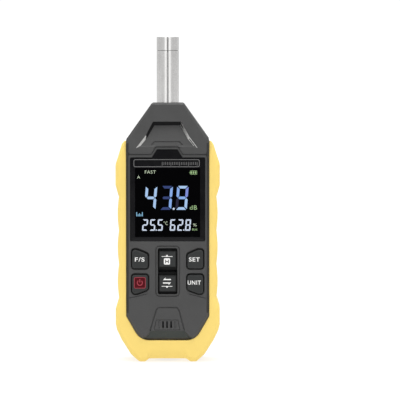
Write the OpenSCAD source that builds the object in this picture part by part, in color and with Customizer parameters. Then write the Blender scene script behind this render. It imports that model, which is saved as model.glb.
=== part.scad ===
// Hand-held sound level meter, standing on its feet.
// Millimetres. X is the width, the readout faces -Y, +Z runs up to the microphone.
// The origin is on the ground, in the middle of the meter's width and depth.

/* [Overall] */
// Depth from the key faces to the back of the bumper
total_d = 31; // [31:0.5:34]
// Height of the top of the microphone cap
total_h = 185; // [180:1:195]

/* [Case] */
// Width of the dark case, without its bumper
case_w = 47.2; // [47.2:0.2:48]
// Height of the shoulders, where the head starts to narrow
shoulder_z = 127; // [126.5:0.5:128]
// Height of the flat top of the head
head_z = 147.5; // [147:0.5:149]
// Width of the flat top of the head
head_w = 18; // [18:0.5:20]
// Height of the case's bottom edge
base_z = 12.4; // [12:0.1:12.6]
// Thickness of the side walls
wall = 1.8; // [1.6:0.1:1.9]
// Thickness of the front and back walls
face_wall = 2.4; // [2.2:0.1:2.5]
// Size of the chamfer round the edges of the front and back
chamfer = 1.4; // [1:0.1:1.6]

/* [Bumper] */
// Width across the bumper at its widest
bumper_w = 59.4; // [58.8:0.2:60.4]
// Width across the bumper at the bottom of its grip notches
grip_w = 55.6; // [55:0.2:56.4]
// How far each grip lobe stands out of the notches
grip_lobe = 0.7; // [0.3:0.1:1]

/* [Display] */
// Width of the lens
lens_w = 42.4; // [41:0.2:42.6]
// Height of the lens's bottom edge
lens_z0 = 69.2; // [68.8:0.2:69.6]
// Height of the lens's top edge, beside the tab
lens_z1 = 116.6; // [116:0.2:117]
// Width of the readout
view_w = 37; // [34:0.5:37.5]

/* [Keys] */
// How far the key faces stand out of the case
key_proud = 0.9; // [0.8:0.1:1]
// How far a key travels
key_travel = 0.8; // [0.4:0.1:0.8]
// Gap between a key and the edge of its opening
key_gap = 0.35; // [0.3:0.05:0.4]

/* [Microphone] */
// Diameter of the barrel
barrel_d = 12.7; // [12:0.1:13]
// Height of the screw-on cap
cap_h = 7.5; // [7:0.5:8.5]

/* [Hidden] */
$fn = 48;
tiny = 0.01;

// Depths, from the front to the back
key_y = -total_d / 2;
face_y = key_y + key_proud;
inner_y = face_y + face_wall;
split_y = 1;
back_y = total_d / 2;
rear_y = back_y - 0.6;
rear_inner_y = rear_y - 2;
board_y0 = -5.5;
board_t = 1.6;
board_y1 = board_y0 + board_t;

// The case's outline: its right half, from the bottom edge up to the head
hip_z = 26.2;
toe = [17.2, 15];
heel = [12.8, base_z];
case_right = [heel, toe, [case_w / 2, hip_z], [case_w / 2, shoulder_z], [head_w / 2, head_z]];

// The head leans back above this height, with the recess in its front leaning more
lean_z = 122;
lean_front = atan(0.16);
lean_back = atan(0.17);
recess_z = 121;
lean_recess = atan(0.32);
recess_top_z = 136.5;

// The lens and its tab
lens_t = 1;
lens_y0 = face_y + 0.3;
lens_y1 = lens_y0 + lens_t;
gasket_t = 0.2;
tab_bottom_w = 16.6;
tab_top_w = 11.4;
tab_z = 121.2;
view_z0 = 71.5;
view_z1 = 110.9;

// The keys: outer keys have one slanted edge each, centre keys share an opening
outer_key_x0 = 11.2;
outer_key_x1 = 20.6;
key_flat = 3.3;
upper_key_z = [53.4, 62, 64.6];
lower_key_z = [50.5, 41.5, 39.2];
centre_key_w = 10.2;
centre_open_w = 11;
centre_open_z = [39, 65.1];
hold_z = [53.8, 63.9];
max_min_z = [40.2, 50.3];
flange_t = 0.8;
flange_y0 = inner_y + 0.2;
flange_y1 = flange_y0 + flange_t;
flange_rim = 0.7;
stem_d = 4.4;
dome_d = 6;
dome_h = 0.35;
stem_y1 = board_y0 - dome_h - key_travel - 0.15;
outer_stem_x = (outer_key_x0 + outer_key_x1) / 2;
stem_spots = [[-outer_stem_x, 58.5], [-outer_stem_x, 45.5], [outer_stem_x, 58.5],
    [outer_stem_x, 45.5], [0, 58.8], [0, 45.2]];

// Vent slots for the climate sensor
vent_z = 21.9;
vent_pitch = 2.3;
vent_w = 1.15;
vent_h = 3.9;

// Screws
case_screw_spots = [[13, 129.5], [-13, 129.5], [14.5, 22.6], [-14.5, 22.6]];
case_screw_seat_y = 6;
case_screw_r = 1.45;
board_screw_spots = [[17, 118.6], [-17, 118.6], [17, 31], [-17, 31]];
board_screw_r = 0.95;
screw_slack = 0.05;

// Microphone
barrel_r = barrel_d / 2;
barrel_bore_r = barrel_r - 1;
cap_z = total_h - cap_h;
spigot_r = barrel_r - 0.5;
spigot_h = 4.5;
capsule_r = 4.85;
flange_r = 8;
flange_z = [139, 141.5];
barrel_bottom_z = 131;
// The barrel steps down to a shank inside the head, and its shoulder rests on the head
shank_r = barrel_r - 0.6;
shank_bore_r = shank_r - 0.95;
seal_z = 144.3;
grid_t = 0.5;
grid_z = total_h - 0.8 - grid_t;

// Power and mounting
battery_z = [44, 94];
battery_y = [2.6, rear_inner_y - 0.6];
tripod_z = 108;
tripod_r = 3.175;
tripod_depth = 8;
tripod_y = rear_y - 0.3;
usb_w = 8.94;
usb_d = 3.26;
usb_y = board_y1 + usb_d / 2;
usb_z = [13.2, 20.6];
plug_w = 13;
plug_d = 7.4;
port_y = usb_y + 0.4;

// ---------------------------------------------------------------- helpers

// Extrudes a shape drawn in X and Z between two depths
module slab(y0, y1) {
    translate([0, y1, 0])
        rotate([90, 0, 0])
            linear_extrude(y1 - y0)
                children();
}

// A cylinder along Y between two depths
module rod(x, z, r, y0, y1) {
    translate([x, y1, z])
        rotate([90, 0, 0])
            cylinder(r = r, h = y1 - y0);
}

// A cylinder along Z between two heights
module post(r, z0, z1) {
    translate([0, 0, z0])
        cylinder(r = r, h = z1 - z0);
}

// A box from one corner to the opposite one
module block(p, q) {
    translate(p)
        cube(q - p);
}

// A shape with its corners rounded
module soft(r) {
    offset(r = r, $fn = 32)
        offset(delta = -r)
            children();
}

module rect(x0, x1, z0, z1) {
    translate([x0, z0])
        square([x1 - x0, z1 - z0]);
}

// A closed outline from its right half
function both_sides(right) =
    concat(right, [for (i = [len(right) - 1:-1:0]) [-right[i].x, right[i].y]]);

module case_2d(inset = 0) {
    offset(delta = -inset)
        polygon(both_sides(case_right));
}

// Everything in front of a plane that leans back above a height
module front_lean(y, z, angle) {
    translate([0, y, z])
        rotate([-angle, 0, 0])
            translate([-40, -30, 0])
                cube([80, 30, 60]);
}

// Everything behind a plane that leans forward above a height
module back_lean(y, z, angle) {
    translate([0, y, z])
        rotate([angle, 0, 0])
            translate([-40, 0, 0])
                cube([80, 30, 60]);
}

// Cuts the edge of the case's front or back along each straight side below the head
module edge_chamfers(y) {
    outline = both_sides(case_right);
    lower = [for (i = [0:len(outline) - 1]) if (i < 3 || i > 5) i];
    for (i = lower) {
        p = outline[i];
        q = outline[(i + 1) % len(outline)];
        length = norm(q - p);
        // Neighbours differ by a hair, so that their planes don't end in one point
        side = (chamfer + 0.03 * (i % 2)) * sqrt(2);
        translate([p.x, y, p.y])
            rotate([0, -atan2(q.y - p.y, q.x - p.x), 0])
                translate([length / 2, 0, 0])
                    rotate([45, 0, 0])
                        cube([length + 3 * chamfer, side, side], center = true);
    }
}

// A shallow groove that follows a shape's edge
module groove(width, depth) {
    slab(face_y - 1, face_y + depth)
        difference() {
            offset(delta = width / 2)
                children();
            offset(delta = -width / 2)
                children();
        }
}

// ---------------------------------------------------------------- outlines

module lens_2d(grow = 0) {
    offset(delta = grow)
        union() {
            rect(-lens_w / 2, lens_w / 2, lens_z0, lens_z1);
            polygon([[-tab_bottom_w / 2, lens_z1 - 1], [tab_bottom_w / 2, lens_z1 - 1],
                [tab_bottom_w / 2, lens_z1], [tab_top_w / 2, tab_z],
                [-tab_top_w / 2, tab_z], [-tab_bottom_w / 2, lens_z1]]);
        }
}

module upper_outer_key_2d() {
    soft(1.4)
        polygon([[outer_key_x0, upper_key_z[0]], [outer_key_x1, upper_key_z[0]],
            [outer_key_x1, upper_key_z[2]], [outer_key_x1 - key_flat, upper_key_z[2]],
            [outer_key_x0, upper_key_z[1]]]);
}

module lower_outer_key_2d() {
    soft(1.4)
        polygon([[outer_key_x0, lower_key_z[0]], [outer_key_x0, lower_key_z[1]],
            [outer_key_x1 - key_flat, lower_key_z[2]], [outer_key_x1, lower_key_z[2]],
            [outer_key_x1, lower_key_z[0]]]);
}

module centre_key_2d(z) {
    soft(0.8)
        rect(-centre_key_w / 2, centre_key_w / 2, z[0], z[1]);
}

module vent_panel_2d() {
    polygon([[-10.5, 17.4], [10.5, 17.4], [7.4, 28], [5.4, 31], [-5.4, 31], [-7.4, 28]]);
}

module board_2d() {
    difference() {
        union() {
            rect(-20, 20, 27, 121.6);
            rect(-8, 8, 15, 28);
        }
        for (side = [-1, 1])
            translate([side * 20, 27])
                rotate(45)
                    square(4, center = true);
    }
}

// ---------------------------------------------------------------- case

module key_openings() {
    slab(face_y - 1, inner_y + 1)
        for (side = [0, 1])
            mirror([side, 0])
                offset(delta = key_gap) {
                    upper_outer_key_2d();
                    lower_outer_key_2d();
                }
    slab(face_y - 1, inner_y + 1)
        soft(0.8)
            rect(-centre_open_w / 2, centre_open_w / 2, centre_open_z[0], centre_open_z[1]);
}

module vents() {
    for (i = [-1:1])
        slab(face_y - 1, inner_y + 1)
            translate([i * vent_pitch, vent_z])
                square([vent_w, vent_h], center = true);
    groove(0.5, 0.3)
        vent_panel_2d();
    groove(0.4, 0.25)
        polygon([[-8.2, 18.9], [8.2, 18.9], [6.6, 24.6], [-6.6, 24.6]]);
}

// The line across the face above the display, which steps over the tab
module face_line() {
    intersection() {
        groove(0.7, 0.35)
            polygon([[-30, 60], [30, 60], [30, 118.3], [9.6, 118.3], [6.6, 122.3],
                [-6.6, 122.3], [-9.6, 118.3], [-30, 118.3]]);
        block([-22.4, face_y - 1, 117], [22.4, inner_y, 124]);
    }
}

// The wedge cut into the front of the head
module head_recess() {
    intersection() {
        slab(face_y - 2, 0)
            polygon([[-18, recess_z], [18, recess_z], [8.6, recess_top_z], [-8.6, recess_top_z]]);
        front_lean(face_y, recess_z, lean_recess);
    }
}

module barrel_seat() {
    post(shank_r + 0.05, barrel_bottom_z - 3, head_z + 1);
    post(flange_r + 0.1, flange_z[0] - 0.05, flange_z[1] + 0.05);
    // Room for the O-ring
    post(shank_r + 1.1, seal_z - 0.8, seal_z + 0.8);
}

module front_cavity() {
    difference() {
        slab(inner_y, split_y + 1)
            difference() {
                case_2d(wall);
                rect(-30, 30, 137, 160);
            }
        front_lean(inner_y, recess_z, lean_recess);
    }
}

module front_bosses() {
    for (p = case_screw_spots)
        rod(p.x, p.y, 3, inner_y - 0.5, split_y);
    for (p = board_screw_spots)
        rod(p.x, p.y, 2.6, inner_y - 0.5, board_y0);
}

module front_cover() {
    color("#4f5051")
        difference() {
            union() {
                difference() {
                    slab(face_y, split_y)
                        case_2d();
                    front_cavity();
                }
                front_bosses();
            }
            front_lean(face_y, lean_z, lean_front);
            head_recess();
            edge_chamfers(face_y);
            slab(face_y - 1, lens_y1 + gasket_t)
                lens_2d(0.2);
            slab(face_y - 1, inner_y + 1)
                rect(-view_w / 2 - 0.4, view_w / 2 + 0.4, view_z0 - 0.4, view_z1 + 0.4);
            key_openings();
            vents();
            face_line();
            barrel_seat();
            port_opening(usb_w / 2 + 0.15, usb_d / 2 + 0.15, usb_y);
            for (p = case_screw_spots)
                rod(p.x, p.y, case_screw_r + screw_slack, -8, split_y + 1);
            for (p = board_screw_spots)
                rod(p.x, p.y, board_screw_r + screw_slack, board_y0 - 4.5, board_y0 + 1);
        }
}

module rear_cavity() {
    difference() {
        slab(split_y - 1, rear_inner_y)
            difference() {
                case_2d(wall);
                rect(-30, 30, 137, 160);
            }
        back_lean(rear_inner_y, lean_z, lean_back);
    }
}

module rear_bosses() {
    for (p = case_screw_spots)
        rod(p.x, p.y, 4.2, split_y, rear_inner_y + 0.5);
    rod(0, tripod_z, 6, tripod_y - tripod_depth - 0.6, rear_inner_y + 0.5);
}

module rear_cover() {
    color("#47494b")
        difference() {
            union() {
                difference() {
                    slab(split_y, rear_y)
                        case_2d();
                    rear_cavity();
                }
                intersection() {
                    rear_bosses();
                    slab(split_y, rear_y)
                        case_2d(0.5);
                }
            }
            back_lean(rear_y, lean_z, lean_back);
            edge_chamfers(rear_y);
            barrel_seat();
            for (p = case_screw_spots) {
                rod(p.x, p.y, 1.7, split_y - 1, rear_y);
                rod(p.x, p.y, 3.1, case_screw_seat_y, rear_y + 1);
            }
            rod(0, tripod_z, 4.5, tripod_y - tripod_depth, tripod_y);
            rod(0, tripod_z, 4.9, tripod_y, rear_y + 1);
            slab(rear_y - 0.3, rear_y + 1)
                soft(1.5)
                    rect(-15.2, 15.2, 57.8, 88.2);
        }
}

// An opening with round ends up through the bottom
module port_opening(half_w, half_d, y) {
    hull()
        for (side = [-1, 1])
            translate([side * (half_w - half_d), y, -1])
                cylinder(r = half_d, h = base_z + 4, $fn = 32);
}

module case_screws() {
    color("#3a3a3c")
        for (p = case_screw_spots)
            difference() {
                union() {
                    rod(p.x, p.y, 2.75, case_screw_seat_y, case_screw_seat_y + 2);
                    rod(p.x, p.y, case_screw_r, -7, case_screw_seat_y + tiny);
                }
                cross_slot(p, case_screw_seat_y + 2, 3.2);
            }
}

module board_screws() {
    color("#a8a9ab")
        for (p = board_screw_spots)
            difference() {
                union() {
                    rod(p.x, p.y, 2, board_y1, board_y1 + 1.3);
                    rod(p.x, p.y, board_screw_r, board_y0 - 4, board_y1 + tiny);
                }
                cross_slot(p, board_y1 + 1.3, 2.4);
            }
}

// The cross in a screw's head
module cross_slot(p, y, size) {
    for (turn = [0, 90])
        translate([p.x, y, p.y])
            rotate([0, turn, 0])
                cube([size, 1.6, 0.6], center = true);
}

// ---------------------------------------------------------------- bumper

grip_z0 = 36.6;
grip_pitch = 19.2;
grip_lobes = 3;
grip_steps = 8;
grip_z1 = grip_z0 + grip_lobes * grip_pitch;
foot_in = 12.9;
foot_out = 16.3;
sole_z = 2;
tip_z = 126.3;
lip_y = face_y + chamfer + 0.1;
edge = 2;
edge_in = 1.2;

// Half width of the grip at a height: shallow lobes between sharp notches
function grip_x(z) = grip_w / 2 + grip_lobe * abs(sin(180 * (z - grip_z0) / grip_pitch));

bumper_right = concat(
    [[foot_in - 2.2, sole_z], [foot_in, 0], [foot_out, 0], [21, 4.2], [26.2, 12.4],
        [bumper_w / 2 - 0.8, 18], [bumper_w / 2, 21.5], [bumper_w / 2, 30.5],
        [bumper_w / 2 - 0.9, 33.4]],
    [for (i = [0:grip_lobes * grip_steps])
        let (z = grip_z0 + i * grip_pitch / grip_steps) [grip_x(z), z]],
    [[bumper_w / 2 - 0.9, grip_z1 + 3.4], [bumper_w / 2, grip_z1 + 6.6],
        [bumper_w / 2, 109], [bumper_w / 2 - 0.5, 113], [26.4, 123.6], [25.2, 125.7], [24.2, tip_z]]);

// A layer of the bumper between two depths, which narrows towards the edge
module bumper_edge(y, toward) {
    narrowing = [1 - 2 * edge_in / bumper_w, 1 - 2 * edge_in / tip_z];
    translate([0, y, total_h / 3])
        rotate([toward * 90, 0, 0])
            linear_extrude(edge, scale = narrowing, slices = 1, $fn = 0)
                translate([0, -toward * total_h / 3])
                    scale([1, toward])
                        polygon(both_sides(bumper_right));
}

module bumper() {
    color("#f9d66f")
        difference() {
            union() {
                slab(lip_y + edge, back_y - edge)
                    polygon(both_sides(bumper_right));
                bumper_edge(lip_y + edge, 1);
                bumper_edge(back_y - edge, -1);
            }
            slab(lip_y - 1, back_y + 1)
                case_2d();
            // Flat soles under both feet
            block([-40, -30, -5], [40, 30, 0]);
            port_opening(plug_w / 2, plug_d / 2, port_y);
        }
}

// ---------------------------------------------------------------- display

module display_lens() {
    color("#141416")
        slab(lens_y0, lens_y1)
            soft(0.6)
                lens_2d();
}

module lens_gasket() {
    color("#202022")
        slab(lens_y1, lens_y1 + gasket_t)
            difference() {
                lens_2d(-0.3);
                rect(-view_w / 2 - 0.4, view_w / 2 + 0.4, view_z0 - 0.4, view_z1 + 0.4);
            }
}

frame_y0 = inner_y + 0.1;
frame_y1 = -7.8;
panel_x = 19.8;
panel_z = [69.4, 112.8];
panel_y1 = frame_y0 + 2;

module display_panel() {
    color("#0b0c10")
        slab(frame_y0, panel_y1)
            rect(-panel_x + 0.05, panel_x - 0.05, panel_z[0] + 0.05, panel_z[1] - 0.05);
}

module light_guide() {
    color("#e8ecf0")
        slab(panel_y1, frame_y1 - 0.9)
            rect(-panel_x + 0.05, panel_x - 0.05, panel_z[0] + 0.05, panel_z[1] - 0.05);
}

module display_frame() {
    color("#d9dadb")
        difference() {
            union() {
                slab(frame_y0, frame_y1)
                    rect(-21.2, 21.2, 68, 114.2);
                // Legs that stand on the board
                for (x = [-18.6, 18.6], z = [70.2, 112])
                    rod(x, z, 1.2, frame_y1 - 0.2, board_y0);
            }
            slab(frame_y0 - 1, frame_y1 - 0.9)
                rect(-panel_x, panel_x, panel_z[0], panel_z[1]);
            // Way out for the flex
            block([-7, frame_y0 - 1, 67], [7, frame_y1 + 1, 70]);
        }
}

flex_w = 12;
flex_t = 0.2;

// A ribbon that leaves the bottom of the panel, turns under the frame and ends in its connector
module display_flex() {
    color("#b8762f")
        translate([-flex_w / 2, 0, 0])
            rotate([90, 0, 90])
                linear_extrude(flex_w)
                    polygon([[frame_y0 + 0.6, panel_z[0]], [frame_y0 + 0.6, 68.6], [frame_y0 + 1.2, 67.6],
                        [frame_y0 + 2, 67.2], [-7.6, 67.2], [-6.9, 67.6], [-6.6, 68.4], [-6.6, 74],
                        [-6.6 - flex_t, 74], [-6.6 - flex_t, 68.5], [-7.05, 67.8], [-7.7, 67.4],
                        [frame_y0 + 2.1, 67.4], [frame_y0 + 1.35, 67.75], [frame_y0 + 0.8, 68.7],
                        [frame_y0 + 0.8, panel_z[0]]]);
}

// ---------------------------------------------------------------- keys

// A key cap: its face, its retaining flange behind the cover, and its stem
module key_cap(spot, shade = "#3b3d3e") {
    color(shade) {
        slab(key_y, flange_y0 + tiny)
            children(0);
        slab(flange_y0, flange_y1)
            children(1);
        rod(spot.x, spot.y, stem_d / 2, flange_y1 - tiny, stem_y1);
    }
}

module key_fast_slow() {
    key_cap(stem_spots[0]) {
        mirror([1, 0]) upper_outer_key_2d();
        mirror([1, 0]) offset(delta = flange_rim) upper_outer_key_2d();
    }
}

module key_power() {
    key_cap(stem_spots[1]) {
        mirror([1, 0]) lower_outer_key_2d();
        mirror([1, 0]) offset(delta = flange_rim) lower_outer_key_2d();
    }
}

module key_set() {
    key_cap(stem_spots[2]) {
        upper_outer_key_2d();
        offset(delta = flange_rim) upper_outer_key_2d();
    }
}

module key_unit() {
    key_cap(stem_spots[3]) {
        lower_outer_key_2d();
        offset(delta = flange_rim) lower_outer_key_2d();
    }
}

module key_hold() {
    key_cap(stem_spots[4]) {
        centre_key_2d(hold_z);
        rect(-6.3, 6.3, hold_z[0] - 1, centre_open_z[1] + 0.8);
    }
}

module key_max_min() {
    key_cap(stem_spots[5]) {
        centre_key_2d(max_min_z);
        rect(-6.3, 6.3, centre_open_z[0] - 0.8, max_min_z[1] + 1);
    }
}

mat_t = 0.8;
collar_r = 4.3;
collar_bore_r = 3.4;

module keypad_mat() {
    color("#2c2d2f")
        difference() {
            union() {
                slab(board_y0 - mat_t, board_y0)
                    soft(2)
                        rect(-19.4, 19.4, 39.6, 65);
                for (p = stem_spots)
                    rod(p.x, p.y, collar_r, flange_y1 + key_travel + 0.2, board_y0 - mat_t + tiny);
            }
            for (p = stem_spots)
                rod(p.x, p.y, collar_bore_r, flange_y1, board_y0 + 1);
        }
}

module key_domes() {
    color("#c9cbcd")
        for (p = stem_spots)
            translate([p.x, board_y0, p.y])
                rotate([90, 0, 0])
                    cylinder(r1 = dome_d / 2, r2 = dome_d / 2 - 0.9, h = dome_h);
}

// ---------------------------------------------------------------- board

module main_board() {
    color("#1f6b3a")
        difference() {
            slab(board_y0, board_y1)
                board_2d();
            for (p = board_screw_spots)
                rod(p.x, p.y, board_screw_r + 0.15, board_y0 - 1, board_y1 + 1);
        }
}

module board_components() {
    color("#232426") {
        // Processor, memory, converter and amplifier
        block([-4, board_y1, 60], [4, board_y1 + 1.2, 68]);
        block([8, board_y1, 61], [13, board_y1 + 1.2, 65]);
        block([-14, board_y1, 62], [-9, board_y1 + 1, 66]);
        block([-3, board_y1, 99], [3, board_y1 + 1.4, 104]);
        // Charger and its coil
        block([-12, board_y1, 30], [-8, board_y1 + 1, 34]);
        block([-6, board_y1, 29.6], [-1.6, board_y1 + 2, 34]);
    }
    color("#e9e6dc") {
        // Connectors for the flex, the battery and the microphone
        block([-7, board_y0 - 1, 73.6], [7, board_y0, 77]);
        block([7.5, board_y1, 35.5], [14, board_y1 + 3.6, 41]);
        block([-3, board_y1, 110.5], [3, board_y1 + 3.4, 115]);
    }
}

module usb_port() {
    color("#b9bbbe")
        difference() {
            hull()
                for (side = [-1, 1])
                    translate([side * (usb_w - usb_d) / 2, usb_y, usb_z[0]])
                        cylinder(r = usb_d / 2, h = usb_z[1] - usb_z[0], $fn = 32);
            difference() {
                hull()
                    for (side = [-1, 1])
                        translate([side * (usb_w - usb_d) / 2, usb_y, usb_z[0] - 1])
                            cylinder(r = usb_d / 2 - 0.3, h = 7, $fn = 32);
                // Tongue
                block([-3.35, usb_y - 0.35, usb_z[0] + 0.7], [3.35, usb_y + 0.35, usb_z[1]]);
            }
        }
}

module climate_sensor() {
    color("#2a5f8f")
        slab(-9, -8.2)
            rect(-5, 5, 17.4, 26.4);
    color("#18191b")
        block([-1.5, -10.2, 20.4], [1.5, -9, 23.4]);
    color("#c8a24a")
        for (x = [-3.81, -1.27, 1.27, 3.81])
            block([x - 0.3, -8.2, 25], [x + 0.3, board_y0, 25.6]);
}

module sensor_gasket() {
    color("#37383a")
        slab(inner_y, -9)
            difference() {
                rect(-5, 5, 17.4, 26.4);
                rect(-3.6, 3.6, 19, 24.8);
            }
}

// ---------------------------------------------------------------- microphone

module mic_barrel() {
    color("#c9cacb")
        difference() {
            union() {
                post(shank_r, barrel_bottom_z, head_z);
                post(barrel_r, head_z, cap_z);
                post(spigot_r, cap_z - tiny, cap_z + spigot_h);
                post(flange_r, flange_z[0], flange_z[1]);
            }
            post(shank_bore_r, barrel_bottom_z - 1, head_z + 2);
            post(barrel_bore_r, head_z + 1, total_h);
        }
}

module mic_cap() {
    color("#d2d3d4")
        difference() {
            post(barrel_r, cap_z, total_h);
            post(spigot_r + 0.02, cap_z - 1, cap_z + spigot_h + 0.1);
            post(barrel_bore_r + 0.05, cap_z, grid_z + grid_t);
            post(4.4, cap_z, total_h + 1);
        }
}

module mic_grid() {
    color("#8f9193")
        difference() {
            post(barrel_bore_r, grid_z, grid_z + grid_t);
            post(0.55, grid_z - 1, grid_z + 2);
            for (ring = [1, 2], i = [0:6 * ring - 1])
                rotate(i * 60 / ring)
                    translate([1.7 * ring, 0, grid_z - 1])
                        cylinder(r = 0.55, h = 3);
        }
}

capsule_z = [176.6, 183];

module mic_capsule() {
    color("#a9abad")
        difference() {
            post(capsule_r, capsule_z[0], capsule_z[1]);
            post(3.4, capsule_z[1] - 0.4, capsule_z[1] + 1);
        }
}

module mic_sleeve() {
    color("#1d1d1f")
        difference() {
            post(barrel_bore_r - 0.03, capsule_z[0], cap_z + spigot_h);
            post(capsule_r + 0.03, capsule_z[0] - 1, total_h);
        }
}

module barrel_oring() {
    color("#161617")
        translate([0, 0, seal_z])
            rotate_extrude()
                translate([shank_r + 0.52, 0])
                    circle(r = 0.5);
}

// Sweeps a tube along hand-placed points
lead_sides = 8;
function unit(v) = v / norm(v);
function tangent(p, i) = unit(p[min(i + 1, len(p) - 1)] - p[max(i - 1, 0)]);
function ring(p, i, r) =
    let (t = tangent(p, i), u = unit(cross(t, [1, 0.01, 0])), v = cross(t, u))
        [for (k = [0:lead_sides - 1])
            p[i] + r * (cos(360 * k / lead_sides) * u + sin(360 * k / lead_sides) * v)];

module lead(p, r) {
    n = lead_sides;
    last = (len(p) - 1) * n;
    polyhedron(
        points = [for (i = [0:len(p) - 1]) each ring(p, i, r)],
        faces = concat(
            [[for (k = [0:n - 1]) k]],
            [[for (k = [n - 1:-1:0]) last + k]],
            [for (i = [0:len(p) - 2], k = [0:n - 1])
                [i * n + k, (i + 1) * n + k, (i + 1) * n + (k + 1) % n, i * n + (k + 1) % n]]));
}

mic_route = [[0, 0, 176.6], [0, 0, 170], [0, 0, 160], [0, 0, 150], [0, 0, 140], [0, 0, 132],
    [0, 0, 126], [0, 0, 123], [0, -0.5, 120.5], [0, -1.5, 118.3], [0, -2.1, 116.4], [0, -2.1, 115]];
battery_route = [[10.5, 5, 44], [10.5, 5, 43.3], [10.5, 4.6, 42.7], [10.5, 3.8, 42.4], [10.5, 1.5, 42.3],
    [10.5, -0.8, 42.4], [10.5, -1.6, 42.2], [10.5, -2, 41.7], [10.5, -2, 41]];

module mic_lead() {
    color("#2b2b2d")
        lead(mic_route, 0.8);
}

module battery_lead() {
    color("#b3262a")
        for (x = [-1, 1])
            translate([x, 0, 0])
                lead(battery_route, 0.6);
}

// ---------------------------------------------------------------- power and back

module battery_cell() {
    color("#b9bec4")
        slab(battery_y[0], battery_y[1])
            soft(1.5)
                rect(-17, 17, battery_z[0], battery_z[1]);
}

module battery_pad() {
    color("#e8e4d6")
        slab(battery_y[1], rear_inner_y)
            rect(-12, 12, battery_z[0] + 6, battery_z[1] - 6);
}

module tripod_insert() {
    color("#c6a04a")
        difference() {
            rod(0, tripod_z, 4.48, tripod_y - tripod_depth, tripod_y);
            rod(0, tripod_z, tripod_r, tripod_y - tripod_depth - 1, tripod_y + 1);
        }
}

module rear_label() {
    color("#9a9c9e")
        slab(rear_y - 0.3, rear_y - 0.1)
            soft(1.4)
                rect(-15, 15, 58, 88);
}

front_cover();
rear_cover();
bumper();
display_lens();
lens_gasket();
display_panel();
light_guide();
display_frame();
display_flex();
keypad_mat();
key_domes();
key_fast_slow();
key_power();
key_set();
key_unit();
key_hold();
key_max_min();
main_board();
board_components();
board_screws();
case_screws();
mic_barrel();
mic_cap();
mic_grid();
mic_capsule();
mic_sleeve();
barrel_oring();
mic_lead();
battery_cell();
battery_pad();
battery_lead();
usb_port();
climate_sensor();
sensor_gasket();
tripod_insert();
rear_label();
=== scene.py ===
import math

import bmesh
import bpy
import numpy as np
from mathutils import Matrix, Vector
from mathutils.geometry import delaunay_2d_cdt


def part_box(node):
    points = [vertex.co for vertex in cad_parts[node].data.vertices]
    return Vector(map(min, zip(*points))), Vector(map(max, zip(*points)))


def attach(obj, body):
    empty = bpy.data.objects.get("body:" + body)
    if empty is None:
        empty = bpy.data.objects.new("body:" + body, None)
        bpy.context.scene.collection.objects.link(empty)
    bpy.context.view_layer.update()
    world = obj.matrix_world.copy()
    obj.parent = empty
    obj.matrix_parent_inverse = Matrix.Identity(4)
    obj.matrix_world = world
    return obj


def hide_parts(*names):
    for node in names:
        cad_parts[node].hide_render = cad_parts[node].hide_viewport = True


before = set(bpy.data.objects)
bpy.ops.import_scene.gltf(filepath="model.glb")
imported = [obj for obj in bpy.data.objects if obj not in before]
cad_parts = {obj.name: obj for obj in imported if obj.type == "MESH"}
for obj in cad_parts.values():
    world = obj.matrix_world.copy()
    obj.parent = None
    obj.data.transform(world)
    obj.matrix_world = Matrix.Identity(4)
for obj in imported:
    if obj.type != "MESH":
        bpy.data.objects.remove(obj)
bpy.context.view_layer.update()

MM = 0.001


def node_box(node):
    """A CAD node's lowest and highest corners, in millimetres."""
    low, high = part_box(node)
    return low / MM, high / MM


FRONT_LOW, FRONT_HIGH = node_box("front_cover")
REAR_Y = node_box("rear_cover")[1].y
BUMPER_LOW, BUMPER_HIGH = node_box("bumper")
LENS_LOW, LENS_HIGH = node_box("display_lens")
BARREL_LOW, BARREL_HIGH = node_box("mic_barrel")
CAP_LOW, CAP_HIGH = node_box("mic_cap")
LABEL_LOW, LABEL_HIGH = node_box("rear_label")
INSERT_LOW, INSERT_HIGH = node_box("tripod_insert")
PORT_LOW, PORT_HIGH = node_box("usb_port")

FACE_Y = FRONT_LOW.y
SPLIT_Y = FRONT_HIGH.y
CASE_X = FRONT_HIGH.x
BASE_Z = FRONT_LOW.z
HEAD_Z = FRONT_HIGH.z
SHOULDER_Z = HEAD_Z - 20.5
HIP_Z = BASE_Z + 13.8
HEAD_X = 9.0
LEAN_Z = HEAD_Z - 25.5
WALL = 1.8
FACE_WALL = 2.4

# The case's outline, anticlockwise: x, z, corner radius
CASE = [(-15.7, BASE_Z, 9.0), (15.7, BASE_Z, 9.0), (CASE_X, HIP_Z, 1.5), (CASE_X, SHOULDER_Z, 1.6),
        (HEAD_X, HEAD_Z, 1.6), (-HEAD_X, HEAD_Z, 1.6), (-CASE_X, SHOULDER_Z, 1.6), (-CASE_X, HIP_Z, 1.5)]


# ---------------------------------------------------------------- outlines

def cross2(a, b):
    return a.x * b.y - a.y * b.x


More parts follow.
